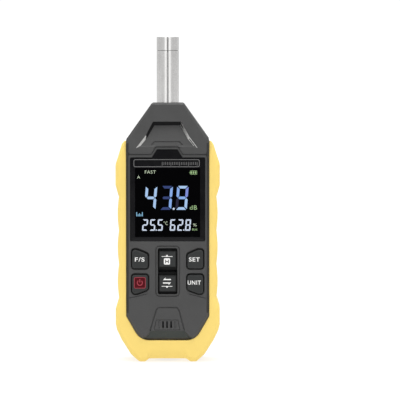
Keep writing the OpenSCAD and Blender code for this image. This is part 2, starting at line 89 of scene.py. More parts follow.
def weighted(corners, grow=0.0, like=None, steps=5, pitch=1.6):
    """Points round a polygon given as (x, z, radius, share of grow), with its corners rounded and moved
    outward by grow times their share. Each point comes with its share. The number of points doesn't
    depend on grow, or on the corners' places if like is given, so two such outlines can be bridged."""
    count = len(corners)
    base = [Vector(c[:2]) for c in like or corners]
    points = [Vector(c[:2]) for c in corners]
    shares = [c[3] if len(c) > 3 else 1.0 for c in corners]
    along = [(points[(i + 1) % count] - points[i]).normalized() for i in range(count)]
    out = [Vector((d.y, -d.x)) for d in along]
    points = [points[i] + (out[i - 1] + out[i]) / (1 + out[i - 1].dot(out[i])) * grow * shares[i]
              for i in range(count)]
    along = [(points[(i + 1) % count] - points[i]).normalized() for i in range(count)]
    arcs = []
    for i, corner in enumerate(corners):
        if corner[2] == 0:
            arcs.append([points[i]])
            continue
        turn = math.atan2(cross2(along[i - 1], along[i]), along[i - 1].dot(along[i]))
        side = 1 if turn > 0 else -1
        radius = max(corner[2] + side * grow * shares[i], 0.03)
        start = points[i] - along[i - 1] * radius * math.tan(abs(turn) / 2)
        arm = Vector((along[i - 1].y, -along[i - 1].x)) * radius * side
        centre = start - arm
        arcs.append([centre + Matrix.Rotation(turn * k / steps, 2) @ arm for k in range(steps + 1)])
    loop = []
    for i in range(count):
        after = (i + 1) % count
        last, following = arcs[i][-1], arcs[after][0]
        cuts = int((base[after] - base[i]).length / pitch)
        loop += [(p.x, p.y, shares[i]) for p in arcs[i]]
        for k in range(1, cuts + 1):
            t = k / (cuts + 1)
            p = last.lerp(following, t)
            loop.append((p.x, p.y, shares[i] + (shares[after] - shares[i]) * t))
    return loop


def rounded(corners, grow=0.0, like=None, steps=5, pitch=1.6):
    """The points of weighted(), without their shares."""
    return [(x, z) for x, z, share in weighted(corners, grow, like, steps, pitch)]


def circle(x, z, radius, sides=32):
    """Points round a circle."""
    turns = [2 * math.pi * k / sides for k in range(sides)]
    return [(x + radius * math.cos(a), z + radius * math.sin(a)) for a in turns]


def box_corners(x0, x1, z0, z1, radius, top_radius=None):
    """A rectangle's corners, with another radius for the upper two if it is given."""
    top = radius if top_radius is None else top_radius
    return [(x0, z0, radius), (x1, z0, radius), (x1, z1, top), (x0, z1, top)]


def mirrored(corners):
    """A polygon's mirror image across X = 0, still anticlockwise."""
    return [(-c[0], *c[1:]) for c in reversed(corners)]


def inside(points, loop):
    """Which points lie inside a closed outline."""
    hit = np.zeros(len(points), bool)
    px, pz = points[:, 0], points[:, 1]
    ring = np.array(loop)
    following = np.roll(ring, -1, axis=0)
    for (x0, z0), (x1, z1) in zip(ring, following):
        if z0 == z1:
            continue
        crosses = (z0 > pz) != (z1 > pz)
        hit ^= crosses & (px < (x1 - x0) * (pz - z0) / (z1 - z0) + x0)
    return hit


def distance_to(points, line):
    """The distance from each point to an open line."""
    best = np.full(len(points), 1e9)
    line = np.array(line, float)
    for a, b in zip(line[:-1], line[1:]):
        span = b - a
        t = np.clip(((points - a) @ span) / max(span @ span, 1e-12), 0, 1)
        best = np.minimum(best, np.linalg.norm(points - a - t[:, None] * span, axis=1))
    return best


def within(points, outer, holes, borders=(), gap=0.0):
    """Which points lie inside an outline, outside its holes, and further than gap from its borders."""
    kept = inside(points, outer)
    for hole in holes:
        kept &= ~inside(points, hole)
    for border in borders:
        kept &= distance_to(points, border) > gap
    return kept


# ---------------------------------------------------------------- mesh building

class Skin:
    """Collects rings, bridges and patches, and welds them into one mesh."""

    def __init__(self):
        self.points = []
        self.faces = []
        self.looks = []

    def ring(self, points):
        first = len(self.points)
        self.points += [tuple(p) for p in points]
        return list(range(first, first + len(points)))

    def bridge(self, a, b, look=0):
        """Joins two rings. look is a material's number, or gives it from an edge's two points."""
        for i in range(len(a)):
            j = (i + 1) % len(a)
            self.faces.append((a[i], a[j], b[j], b[i]))
            self.looks.append(look(self.points[a[i]], self.points[a[j]]) if callable(look) else look)

    def tube(self, rings, look=0):
        """Bridges each ring to the next and returns the rings' numbers."""
        numbers = [self.ring(r) for r in rings]
        for a, b in zip(numbers[:-1], numbers[1:]):
            self.bridge(a, b, look)
        return numbers

    def close(self, first, *rest):
        """Caps the first and last of some rings."""
        self.faces += [tuple(first), tuple(rest[-1])]
        self.looks += [0, 0]

    def patch(self, outer, holes, depth_of, look=0, pitch=2.2, lines=()):
        """Fills an outline with triangles. depth_of gives y for an array of x, z points, pitch spaces the
        points inside, and edges follow the given lines."""
        loops = [outer] + list(holes)
        flat = [p for loop in loops for p in loop]
        edges = []
        first = 0
        for loop in loops:
            edges += [(first + i, first + (i + 1) % len(loop)) for i in range(len(loop))]
            first += len(loop)
        borders = [list(loop) + [loop[0]] for loop in loops]
        for line in lines:
            spots = np.array(line)
            kept = within(spots, outer, holes, borders, 0.05)
            numbers = {}
            for k in np.flatnonzero(kept):
                numbers[k] = len(flat)
                flat.append(tuple(spots[k]))
            edges += [(numbers[k], numbers[k + 1]) for k in numbers if k + 1 in numbers]
        if pitch:
            box = np.array(outer)
            (x0, z0), (x1, z1) = box.min(0), box.max(0)
            grid = np.array([(x, z) for x in np.arange(x0 + pitch / 2, x1, pitch)
                             for z in np.arange(z0 + pitch / 2, z1, pitch)]).reshape(-1, 2)
            if len(grid):
                kept = within(grid, outer, holes, borders, 0.4 * pitch)
                for line in lines:
                    kept &= distance_to(grid, line) > 0.3 * pitch
                flat += [tuple(p) for p in grid[kept]]
        found = delaunay_2d_cdt([Vector(p) for p in flat], edges, [], 0, 1e-5)
        flat_points = np.array([tuple(p) for p in found[0]])
        triangles = np.array([f for f in found[2] if len(f) == 3])
        middles = flat_points[triangles].mean(axis=1)
        kept = within(middles, outer, holes)
        depths = depth_of(flat_points)
        numbers = self.ring([(p[0], y, p[1]) for p, y in zip(flat_points, depths)])
        for triangle in triangles[kept]:
            self.faces.append(tuple(numbers[k] for k in triangle))
            self.looks.append(look)

    def build(self, name, materials, sharp=38, weld=0.002):
        """One object from everything collected, with smooth shading up to the sharp angle."""
        mesh = bpy.data.meshes.new(name)
        mesh.from_pydata([[c * MM for c in p] for p in self.points], [], self.faces)
        mesh.polygons.foreach_set("material_index", self.looks)
        for material in materials:
            mesh.materials.append(material)
        return finish_mesh(name, mesh, sharp, weld)


def finish_mesh(name, mesh, sharp=38, weld=0.002):
    """Welds a mesh, turns its faces outward, sets its shading and links it."""
    work = bmesh.new()
    work.from_mesh(mesh)
    bmesh.ops.remove_doubles(work, verts=work.verts, dist=weld * MM)
    bmesh.ops.dissolve_degenerate(work, edges=work.edges, dist=weld * MM / 2)
    bmesh.ops.delete(work, geom=[v for v in work.verts if not v.link_faces], context="VERTS")
    bmesh.ops.recalc_face_normals(work, faces=work.faces)
    limit = math.radians(sharp)
    for edge in work.edges:
        edge.smooth = len(edge.link_faces) != 2 or edge.calc_face_angle(0) < limit
    for face in work.faces:
        face.smooth = True
    work.to_mesh(mesh)
    work.free()
    piece = bpy.data.objects.new(name, mesh)
    bpy.context.scene.collection.objects.link(piece)
    even = piece.modifiers.new("even_normals", "WEIGHTED_NORMAL")
    even.keep_sharp = True
    even.weight = 80
    return piece


def carve(piece, *cutters):
    """Cuts closed shapes out of a piece and removes them."""
    for cutter in cutters:
        cut = piece.modifiers.new("cut", "BOOLEAN")
        cut.operation = "DIFFERENCE"
        cut.solver = "EXACT"
        cut.object = cutter
        bpy.context.view_layer.objects.active = piece
        while piece.modifiers[0] != cut:
            bpy.ops.object.modifier_move_up(modifier=cut.name)
        bpy.ops.object.modifier_apply(modifier=cut.name)
        bpy.data.objects.remove(cutter)
    return piece


def lathe(name, profile, materials, sides=96, look_of=None, sharp=38):
    """A turned piece about Z from a closed (radius, z) profile."""
    skin = Skin()
    turns = [2 * math.pi * k / sides for k in range(sides)]
    rings = [skin.ring([(r * math.cos(a), r * math.sin(a), z) for a in turns]) for r, z in profile]
    for k in range(len(rings)):
        skin.bridge(rings[k], rings[(k + 1) % len(rings)], look_of(k) if look_of else 0)
    return skin.build(name, materials, sharp)


def keep(piece, body, slot, *nodes):
    """Says which body a piece rides on, and the CAD nodes that it stands for. slot is not used."""
    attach(piece, body)
    if nodes:
        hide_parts(*nodes)
    return piece


# ---------------------------------------------------------------- materials

class Look:
    """A procedural material: a Principled surface with helpers for its noise, colour and bump."""

    def __init__(self, name, rough=0.5, metal=0.0, specular=0.5, coat=0.0, coat_rough=0.1):
        self.material = bpy.data.materials.new(name)
        self.material.use_nodes = True
        self.tree = self.material.node_tree
        self.surface = self.tree.nodes["Principled BSDF"]
        self.set("Roughness", rough)
        self.set("Metallic", metal)
        self.set("Specular IOR Level", specular)
        self.set("Coat Weight", coat)
        self.set("Coat Roughness", coat_rough)
        self.bump = None

    def set(self, socket, value):
        self.surface.inputs[socket].default_value = value

    def add(self, kind, **values):
        node = self.tree.nodes.new(kind)
        for key, value in values.items():
            setattr(node, key, value)
        return node

    def link(self, a, b):
        self.tree.links.new(a, b)

    def coordinates(self, stretch=(1, 1, 1)):
        """Object coordinates in metres, stretched along the axes."""
        place = self.add("ShaderNodeTexCoord")
        mapping = self.add("ShaderNodeMapping")
        mapping.inputs["Scale"].default_value = stretch
        self.link(place.outputs["Object"], mapping.inputs["Vector"])
        return mapping.outputs["Vector"]

    def noise(self, size, detail=3.0, stretch=(1, 1, 1), distortion=0.0):
        """Noise whose features are about size millimetres across."""
        texture = self.add("ShaderNodeTexNoise")
        texture.inputs["Scale"].default_value = 1 / (size * MM)
        texture.inputs["Detail"].default_value = detail
        texture.inputs["Distortion"].default_value = distortion
        self.link(self.coordinates(stretch), texture.inputs["Vector"])
        return texture.outputs["Fac"]

    def span(self, value, low, high, start=0.3, end=0.7):
        """Maps a value between start and end to low and high."""
        mapping = self.add("ShaderNodeMapRange")
        mapping.inputs["From Min"].default_value = start
        mapping.inputs["From Max"].default_value = end
        mapping.inputs["To Min"].default_value = low
        mapping.inputs["To Max"].default_value = high
        self.link(value, mapping.inputs["Value"])
        return mapping.outputs["Result"]

    def colour(self, value, a, b, socket="Base Color"):
        """Blends between two colours by a value from 0 to 1."""
        mix = self.add("ShaderNodeMix", data_type="RGBA")
        mix.inputs["A"].default_value = (*a, 1)
        mix.inputs["B"].default_value = (*b, 1)
        self.link(value, mix.inputs["Factor"])
        self.link(mix.outputs["Result"], self.surface.inputs[socket])
        return mix

    def roughness(self, value, low, high):
        self.link(self.span(value, low, high), self.surface.inputs["Roughness"])

    def relief(self, value, height):
        """Adds a bump of a height in millimetres, on top of any bump already there."""
        bump = self.add("ShaderNodeBump")
        bump.inputs["Strength"].default_value = 1.0
        bump.inputs["Distance"].default_value = height * MM
        self.link(value, bump.inputs["Height"])
        if self.bump:
            self.link(self.bump.outputs["Normal"], bump.inputs["Normal"])
        self.bump = bump
        self.link(bump.outputs["Normal"], self.surface.inputs["Normal"])


def srgb(code):
    """A linear colour from a display code such as 4f5051."""
    channels = [int(code[i:i + 2], 16) / 255 for i in (0, 2, 4)]
    return tuple(c / 12.92 if c <= 0.04045 else ((c + 0.055) / 1.055) ** 2.4 for c in channels)


def shade(colour, factor):
    return tuple(min(c * factor, 1.0) for c in colour)


def moulded(name, colour, rough, grain=0.22, height=0.012, specular=0.4, wear=0.06):
    """Moulded plastic or rubber: a spark-eroded grain, faint mottling and handling marks."""
    look = Look(name, rough, specular=specular)
    look.colour(look.span(look.noise(9, 4), 0, 1), shade(colour, 1 - wear), shade(colour, 1 + wear))
    look.roughness(look.noise(4.5, 5), rough - 0.06, rough + 0.08)
    look.relief(look.noise(grain, 2), height)
    look.relief(look.noise(grain * 5, 3), height * 1.6)
    return look.material


def glossy(name, colour, rough=0.08, ripple=0.004, specular=0.5, coat=0.0):
    """Polished plastic: nearly smooth, with a slow ripple and faint smears."""
    look = Look(name, rough, specular=specular, coat=coat)
    look.colour(look.span(look.noise(14, 3), 0, 1), shade(colour, 0.92), shade(colour, 1.08))
    look.roughness(look.noise(6, 5, distortion=0.6), rough * 0.7, rough * 1.5)
    look.relief(look.noise(3, 1), ripple)
    return look.material


def turned_metal(name, colour, rough, lines=0.09, height=0.0012, streak=0.12):
    """Metal turned on a lathe about Z: fine rings round it, with soft patches between them."""
    look = Look(name, rough, metal=1.0)
    rings = look.noise(lines, 2, stretch=(0.02, 0.02, 1))
    look.colour(look.span(look.noise(5, 3, stretch=(1, 1, 0.3)), 0, 1),
                shade(colour, 1 - streak / 2), shade(colour, 1 + streak / 3))
    look.roughness(rings, rough * 0.75, rough * 1.35)
    look.relief(rings, height)
    return look.material


def cast_metal(name, colour, rough, grain=0.3, height=0.002):
    """Plated or machined metal for small hardware."""
    look = Look(name, rough, metal=1.0)
    look.colour(look.span(look.noise(1.5, 4), 0, 1), shade(colour, 0.88), shade(colour, 1.06))
    look.roughness(look.noise(0.8, 3), rough * 0.7, rough * 1.5)
    look.relief(look.noise(grain, 3), height)
    return look.material


def lit(name, colour, strength=1.0, spread=0.08):
    """A lit part of the readout, with a slightly uneven backlight."""
    look = Look(name, 0.25, specular=0.12)
    look.set("Base Color", (0.01, 0.01, 0.012, 1))
    look.colour(look.span(look.noise(2.5, 2), 0, 1), shade(colour, 1 - spread), colour,
                "Emission Color")
    look.set("Emission Strength", strength)
    return look.material


def printed(name, colour, rough=0.45, specular=0.3):
    """Screen-printed ink, with a slightly uneven density."""
    look = Look(name, rough, specular=specular)
    look.colour(look.span(look.noise(0.6, 3), 0, 1), shade(colour, 0.93), colour)
    look.roughness(look.noise(1.2, 2), rough - 0.08, rough + 0.1)
    look.relief(look.noise(0.12, 2), 0.003)
    return look.material


def laminate(name, colour, track):
    """A circuit board: solder mask with faint tracks under it."""
    look = Look(name, 0.3)
    tracks = look.add("ShaderNodeTexBrick")
    tracks.inputs["Scale"].default_value = 260
    tracks.inputs["Mortar Size"].default_value = 0.03
    tracks.inputs["Color1"].default_value = (*colour, 1)
    tracks.inputs["Color2"].default_value = (*shade(colour, 0.9), 1)
    tracks.inputs["Mortar"].default_value = (*track, 1)
    turned = look.add("ShaderNodeMapping")
    turned.inputs["Rotation"].default_value = (math.pi / 2, 0, 0)
    look.link(look.coordinates(), turned.inputs["Vector"])
    look.link(turned.outputs["Vector"], tracks.inputs["Vector"])
    look.link(tracks.outputs["Color"], look.surface.inputs["Base Color"])
    look.relief(tracks.outputs["Fac"], 0.02)
    look.roughness(look.noise(3, 3), 0.25, 0.4)
    return look.material


def foam(name, colour):
    """Closed-cell foam."""
    look = Look(name, 0.9, specular=0.2)
    cells = look.add("ShaderNodeTexVoronoi")
    cells.inputs["Scale"].default_value = 1 / (0.4 * MM)
    look.link(look.coordinates(), cells.inputs["Vector"])
    look.colour(look.span(cells.outputs["Distance"], 0, 1, 0, 1), colour, shade(colour, 0.7))
    look.relief(cells.outputs["Distance"], 0.08)
    return look.material


COVER = moulded("cover_moulded", srgb("434343"), 0.5, specular=0.36)
# Bright metal patches on the recess flanks, placed where highlights fall: painted highlight.
FLANK_PAINTED_HIGHLIGHT = cast_metal("flank_painted_highlight", srgb("bcbcba"), 0.42, height=0.0006)
# Darker material on the moulded edge along the sides beside the bumper: painted shade.
COVER_EDGE_PAINTED_SHADE = moulded("cover_edge_painted_shade", srgb("2b2c2c"), 0.5, specular=0.25)
# Darker, slightly greenish material on the facet that falls away at the foot: painted shade.
COVER_FOOT_PAINTED_SHADE = moulded("cover_foot_painted_shade", srgb("363a37"), 0.5, specular=0.3)
# Near-black material on the recess's upper wall and flanks and in the barrel's seam: painted shade.
COVER_PAINTED_SHADE = moulded("cover_painted_shade", srgb("161617"), 0.55, grain=0.15, height=0.003, specular=0.12)
REAR_COVER = moulded("rear_cover_moulded", srgb("404142"), 0.52, grain=0.3, height=0.018)
BUMPER = moulded("bumper_rubber", srgb("f4d677"), 0.5, grain=0.35, height=0.014, specular=0.3, wear=0.015)
KEY = moulded("key_moulded", srgb("282a2a"), 0.5, grain=0.16, height=0.008, specular=0.3)
# Lighter copy of the key material for the outer keys' rounded edges, softening the shade in their gaps:
# painted light.
KEY_SIDE_PAINTED_LIGHT = moulded("key_side_soft", srgb("343535"), 0.55, grain=0.16, height=0.006, specular=0.2)
# Near-black copy of the key material for the centre keys' rounded edges, for the dark gap between them:
# painted shade.
KEY_SIDE_PAINTED_SHADE = moulded("key_side", srgb("121313"), 0.55, grain=0.16, height=0.006, specular=0.2)
LENS_BORDER = glossy("lens_border", srgb("121214"), 0.12, specular=0.2)
LENS_VIEW = glossy("lens_view", srgb("020203"), 0.05, specular=0.12)
STEEL = turned_metal("turned_steel", srgb("dbdad9"), 0.2, height=0.0006)
STEEL_CAP = turned_metal("turned_steel_cap", srgb("dfdedd"), 0.17, lines=0.07, height=0.0006)
GRID = cast_metal("grid_steel", srgb("96989a"), 0.35)
INK = printed("legend_ink", srgb("f2f2f0"))
INK_RED = printed("power_field", srgb("500c16"), specular=0.08)
INK_RED_LINE = printed("power_line", srgb("a4444e"), specular=0.08)
BANNER_INK = printed("banner_ink", srgb("6e6e6e"))
BRASS = cast_metal("insert_brass", srgb("c6a04a"), 0.3)
LABEL_FILM = glossy("label_film", srgb("8f9193"), 0.4)
LABEL_INK = printed("label_ink", srgb("3a3b3c"))
READOUT = {name: lit("lit_" + name, srgb(code)) for name, code in (
    ("sky", "a8c8ee"), ("blue", "87ade9"), ("violet", "7d8cd6"), ("dim", "2b3d72"), ("ghost", "111131"),
    ("white", "d3dff2"), ("green", "9fc088"), ("pale", "c8d6ba"), ("cyan", "7fb2d0"))}


# ---------------------------------------------------------------- the case

HEAD_SLOPE = 0.16
BACK_SLOPE = 0.17
RECESS_SLOPE = 0.36
RECESS_START_Z = LEAN_Z + 0.2
CAVITY_SLOPE = 0.32
INNER_Y = FACE_Y + FACE_WALL
REAR_INNER_Y = REAR_Y - 2
CAVITY_TOP_Z = HEAD_Z - 10.5
OUTER_KEY_X0, OUTER_KEY_X1 = 11.2, 20.6

# Moved inward and deeper, from the face's edge to the side wall: the moulded edge of both covers
EDGE = [(-1.75, 0), (-1.6, 0.03), (-1.42, 0.16), (-0.34, 1.24), (-0.16, 1.45), (-0.05, 1.65), (0, 1.85)]
# Moved outward and deeper: the dished rim round an outer key, and the lip round the centre keys
KEY_RIM = [(0.95, 0), (0.86, 0.02), (0.74, 0.12), (0.6, 0.38), (0.45, 0.72), (0.35, 1.1)]
LIP = [(1.55, 0), (1.42, 0.55), (1.0, 0.55), (0.84, -0.05), (0.72, -0.12), (0.3, -0.12), (0.1, -0.02),
       (0, 0.2)]
SLOT_RIM = [(0.12, 0), (0.03, 0.05), (0, 0.15)]
HOLE_RIM = [(0.3, 0), (0.08, 0.08), (0, 0.3)]

UPPER_KEY = [(11.2, 53.6, 1.4), (20.2, 53.6, 1.4), (20.2, 64.6, 1.5), (17.3, 64.6, 2.2), (11.2, 62.0, 1.5)]
LOWER_KEY = [(11.2, 41.5, 1.5), (17.3, 39.2, 2.2), (20.2, 39.2, 1.5), (20.2, 50.2, 1.4), (11.2, 50.2, 1.4)]
# The caps stand a little lower in their openings
UPPER_CAP = [(x, z - 0.45 if z > 60 else z, r) for x, z, r in UPPER_KEY]
LOWER_CAP = [(x, z - 0.3 if z > 50 else z, r) for x, z, r in LOWER_KEY]
HOLD_KEY = box_corners(-5.1, 5.1, 54.1, 63.7, 0.8, 0.9)
MAX_MIN_KEY = box_corners(-5.1, 5.1, 40.2, 49.9, 0.9, 0.8)
CENTRE_OPENING = box_corners(-5.5, 5.5, 39.0, 65.1, 0.9)

LENS = [(-21.2, 69.2, 0.6), (21.2, 69.2, 0.6), (21.2, 116.6, 0.6), (8.4, 116.6, 0.4), (5.6, 121.2, 0.5),
        (-6.0, 121.2, 0.5), (-8.9, 116.6, 0.4), (-21.2, 116.6, 0.6)]
WINDOW = box_corners(-18.9, 18.9, 71.1, 111.3, 0.5)
POCKET_Y = LENS_HIGH.y + 0.2

# The face's markings sit slightly left of the middle
MARK_X = -0.35
RECESS_RIM = [(-15, 122.9, 0.8), (14.3, 122.9, 0.8), (17.4, 121.9, 0.15), (12.3, 128.7, 0.3),
              (7.7, 137.1, 0.4), (-8.35, 137.1, 0.4), (-12.4, 129.3, 0.3), (-18.1, 121.9, 0.15)]
RECESS_FLOOR = [(-14.2, 123.3, 0.5), (13.5, 123.3, 0.5), (14.6, 123.6, 0.1), (11.4, 127.4, 0.3),
                (7.1, 134.9, 0.2), (-7.6, 134.8, 0.2), (-11.5, 128.0, 0.3), (-15.2, 123.5, 0.1)]
STEP_LINE = [(-9.2, 123.7), (-7.6, 125.6), (6.9, 125.6), (8.5, 123.7)]

PANEL_LINE = [(-21.8, 118.4), (-9.2, 118.4), (-6.65, 122.6), (5.95, 122.6), (8.6, 118.4), (21.8, 118.4)]
VENT_LINE = [(-9.9, 18.3), (-6.5, 29.9), (-5.3, 31.3), (5.2, 31.3), (6.4, 29.9), (9.5, 18.3)]
VENT_PLATE = [(-7.7, 18.5), (7.0, 18.5), (5.8, 24.2), (-6.5, 24.2), (-7.7, 18.5)]
DIMPLES = [[(MARK_X + side * 4.6, 19.8), (MARK_X + side * 4.6, 23.2)] for side in (-1, 1)]
CREASES = [[(side * 21.6, 36.8), (side * 17.6, 37.6), (side * 12.4, 39.0)] for side in (-1, 1)]
VENT_Z, VENT_PITCH = 21.5, 2.3


def leaning(points, start_y, slope, start_z, blend=1.2):
    """Depths of a face that leans back above a height, with the bend rounded over blend."""
    above = points[:, 1] - start_z
    eased = np.where(above > blend, above, np.where(above < -blend, 0, (above + blend) ** 2 / (4 * blend)))
    return start_y + slope * eased


def trench(points, line, width, depth, flank=0.14):
    """How deep a groove along a line is at each point."""
    return depth * np.clip((width / 2 - distance_to(points, line)) / flank, 0, 1)


def trench_rows(line, width, flank=0.14, closed=False):
    """The edges of a groove along a line, for the mesh to follow."""
    spots = [Vector(p) for p in line]
    rows = []
    for side in (-1, 1):
        for reach in (width / 2, width / 2 - flank):
            row = []
            for i, spot in enumerate(spots):
                before = spots[i - 1] if i else (spots[-2] if closed else None)
                after = spots[i + 1] if i + 1 < len(spots) else (spots[1] if closed else None)
                normals = [Vector((d.y, -d.x)).normalized()
                           for d in ([spot - before] if before else []) + ([after - spot] if after else [])]
                turn = normals[0] + normals[-1]
                mitre = turn / max(turn.dot(normals[0]), 0.2)
                row.append(spot + mitre * side * reach)
            rows.append(spaced(row, 1.2))
    return rows


def spaced(line, pitch):
    """An open line with points added along it."""
    out = [tuple(line[0])]
    for a, b in zip(line[:-1], line[1:]):
        a, b = Vector(a), Vector(b)
        cuts = max(int((b - a).length / pitch), 1)
        out += [tuple(a.lerp(b, k / cuts)) for k in range(1, cuts + 1)]
    return out


GROOVES = [(PANEL_LINE, 0.8, 0.75), (VENT_LINE, 0.75, 0.6), (VENT_PLATE, 0.45, 0.3)]
GROOVES += [(line, 0.55, 0.4) for line in CREASES] + [(line, 1.1, 0.3) for line in DIMPLES]

FOOT_Z = 18.0
BACK_GRIP = [[(-11, z), (11, z)] for z in (33, 37, 41, 45, 49)]
BACK_LINE = [(-21.6, 118.2), (21.6, 118.2)]


def face(points):
    """The front of the case."""
    y = leaning(points, FACE_Y, HEAD_SLOPE, LEAN_Z)
    for line, width, depth in GROOVES:
        y += trench(points, line, width, depth)
    # The foot of the vent panel falls away to the bottom edge
    x, z = np.abs(points[:, 0]), points[:, 1]
    y += 1.7 * np.clip((FOOT_Z - z) / 3.6, 0, 1) * np.clip((9.6 + 0.9 * (FOOT_Z - z) - x) / 0.9, 0, 1)
    return y


def recess(points):
    """The floor of the recess in the head."""
    return FACE_Y + RECESS_SLOPE * (points[:, 1] - RECESS_START_Z) + trench(points, STEP_LINE, 0.6, 0.45)


def back(points):
    """The back of the case."""
    y = 2 * REAR_Y - leaning(points, REAR_Y, BACK_SLOPE, LEAN_Z)
    for line in BACK_GRIP:
        y -= trench(points, line, 1.3, 0.5, 0.35)
    y -= trench(points, BACK_LINE, 0.75, 0.4)
    return y


def level(y):
    """A flat surface across Y."""
    return lambda points: np.full(len(points), float(y))


def on(loop, surface, depth=0.0, share=None):
    """An outline laid on a surface, and moved deeper by depth times share."""
    flat = np.array([p[:2] for p in loop])
    shares = np.ones(len(flat)) if share is None else share(flat)
    return [(p[0], y, p[1]) for p, y in zip(flat, surface(flat) + depth * shares)]


def edge_share(flat):
    """The moulded edge is smaller round the head."""
    t = np.clip((flat[:, 1] - SHOULDER_Z + 1.5) / 2.5, 0, 1)
    return 1 - 0.5 * t * t * (3 - 2 * t)


CASE_EDGED = [(x, z, r, 0.5 if z > SHOULDER_Z + 1 else 1.0) for x, z, r in CASE]
CAVITY = [(-14.7, BASE_Z + WALL, 5.2), (14.7, BASE_Z + WALL, 5.2), (CASE_X - WALL, HIP_Z + 0.4, 0.6),
          (CASE_X - WALL, SHOULDER_Z - 0.6, 0.6), (14.3, CAVITY_TOP_Z, 0.6), (-14.3, CAVITY_TOP_Z, 0.6),
          (-CASE_X + WALL, SHOULDER_Z - 0.6, 0.6), (-CASE_X + WALL, HIP_Z + 0.4, 0.6)]


def edge_look(p, q):
    """The moulded edge has a darker material along both sides, for the shade beside the bumper."""
    return 3 if max(p[2], q[2]) < SHOULDER_Z - 1 and min(p[2], q[2]) > HIP_Z + 1 else 0


def shell(skin, surface, inner, toward, holes, inner_holes, lines):
    """The walls of one cover: its face, moulded edge, side wall, rim and inside."""
    skin.patch(rounded(CASE_EDGED, EDGE[0][0]), holes, surface, lines=lines, pitch=2.4)
    rings = [on(rounded(CASE_EDGED, grow), surface, toward * depth, edge_share) for grow, depth in EDGE]
    skin.tube(rings[:3])
    skin.tube(rings[2:6], edge_look)
    skin.tube(rings[5:] + [on(rounded(CASE), level(SPLIT_Y - 0.15 * toward)),
                           on(rounded(CASE, -0.12), level(SPLIT_Y))])
    skin.patch(rounded(CASE, -0.12), [rounded(CAVITY)], level(SPLIT_Y), pitch=None)
    skin.tube([on(rounded(CAVITY), level(SPLIT_Y)), on(rounded(CAVITY), inner)])
    skin.patch(rounded(CAVITY), inner_holes, inner, pitch=3.5)


def opening(skin, loops, profile, surface, inner, toward=1):
    """A hole through a wall. loops gives its outline moved outward. Returns its two edges."""
    rings = [on(loops(grow), surface, toward * depth) for grow, depth in profile]
    skin.tube(rings + [on(loops(profile[-1][0]), inner)])
    return loops(profile[0][0]), loops(profile[-1][0])


def outline_of(corners):
    return lambda grow=0.0: rounded(corners, grow)


def vent_slot(i):
    x, half_w, half_h = MARK_X + i * VENT_PITCH, 0.46, 1.95
    return box_corners(x - half_w, x + half_w, VENT_Z - half_h, VENT_Z + half_h, 0.25)


def flank_look(share):
    """The looks of the recess's walls a share of the way down: 0 the cover, 1 bright metal placed as a
    painted
    highlight, 2 a dark material as painted shade. The bright areas stand where the photograph shows
    highlights:
    low down on the left flank, and on the right one high up and along its edges below."""
    def look(p, q):
        across, rise, z = abs(p[0] - q[0]), abs(p[2] - q[2]), (p[2] + q[2]) / 2
        # The upper wall above z 130, and the flank parts away from the bright patches, take the dark
        # material: painted shade.
        if rise < 0.8 * across:
            return 2 if z > 130 else 0
        if p[0] < 0:
            return 1 if z < 129.6 - 3 * share else 2
        return 1 if 127.4 < z < 133 + share or not 0.2 < share < 0.75 else 2
    return look


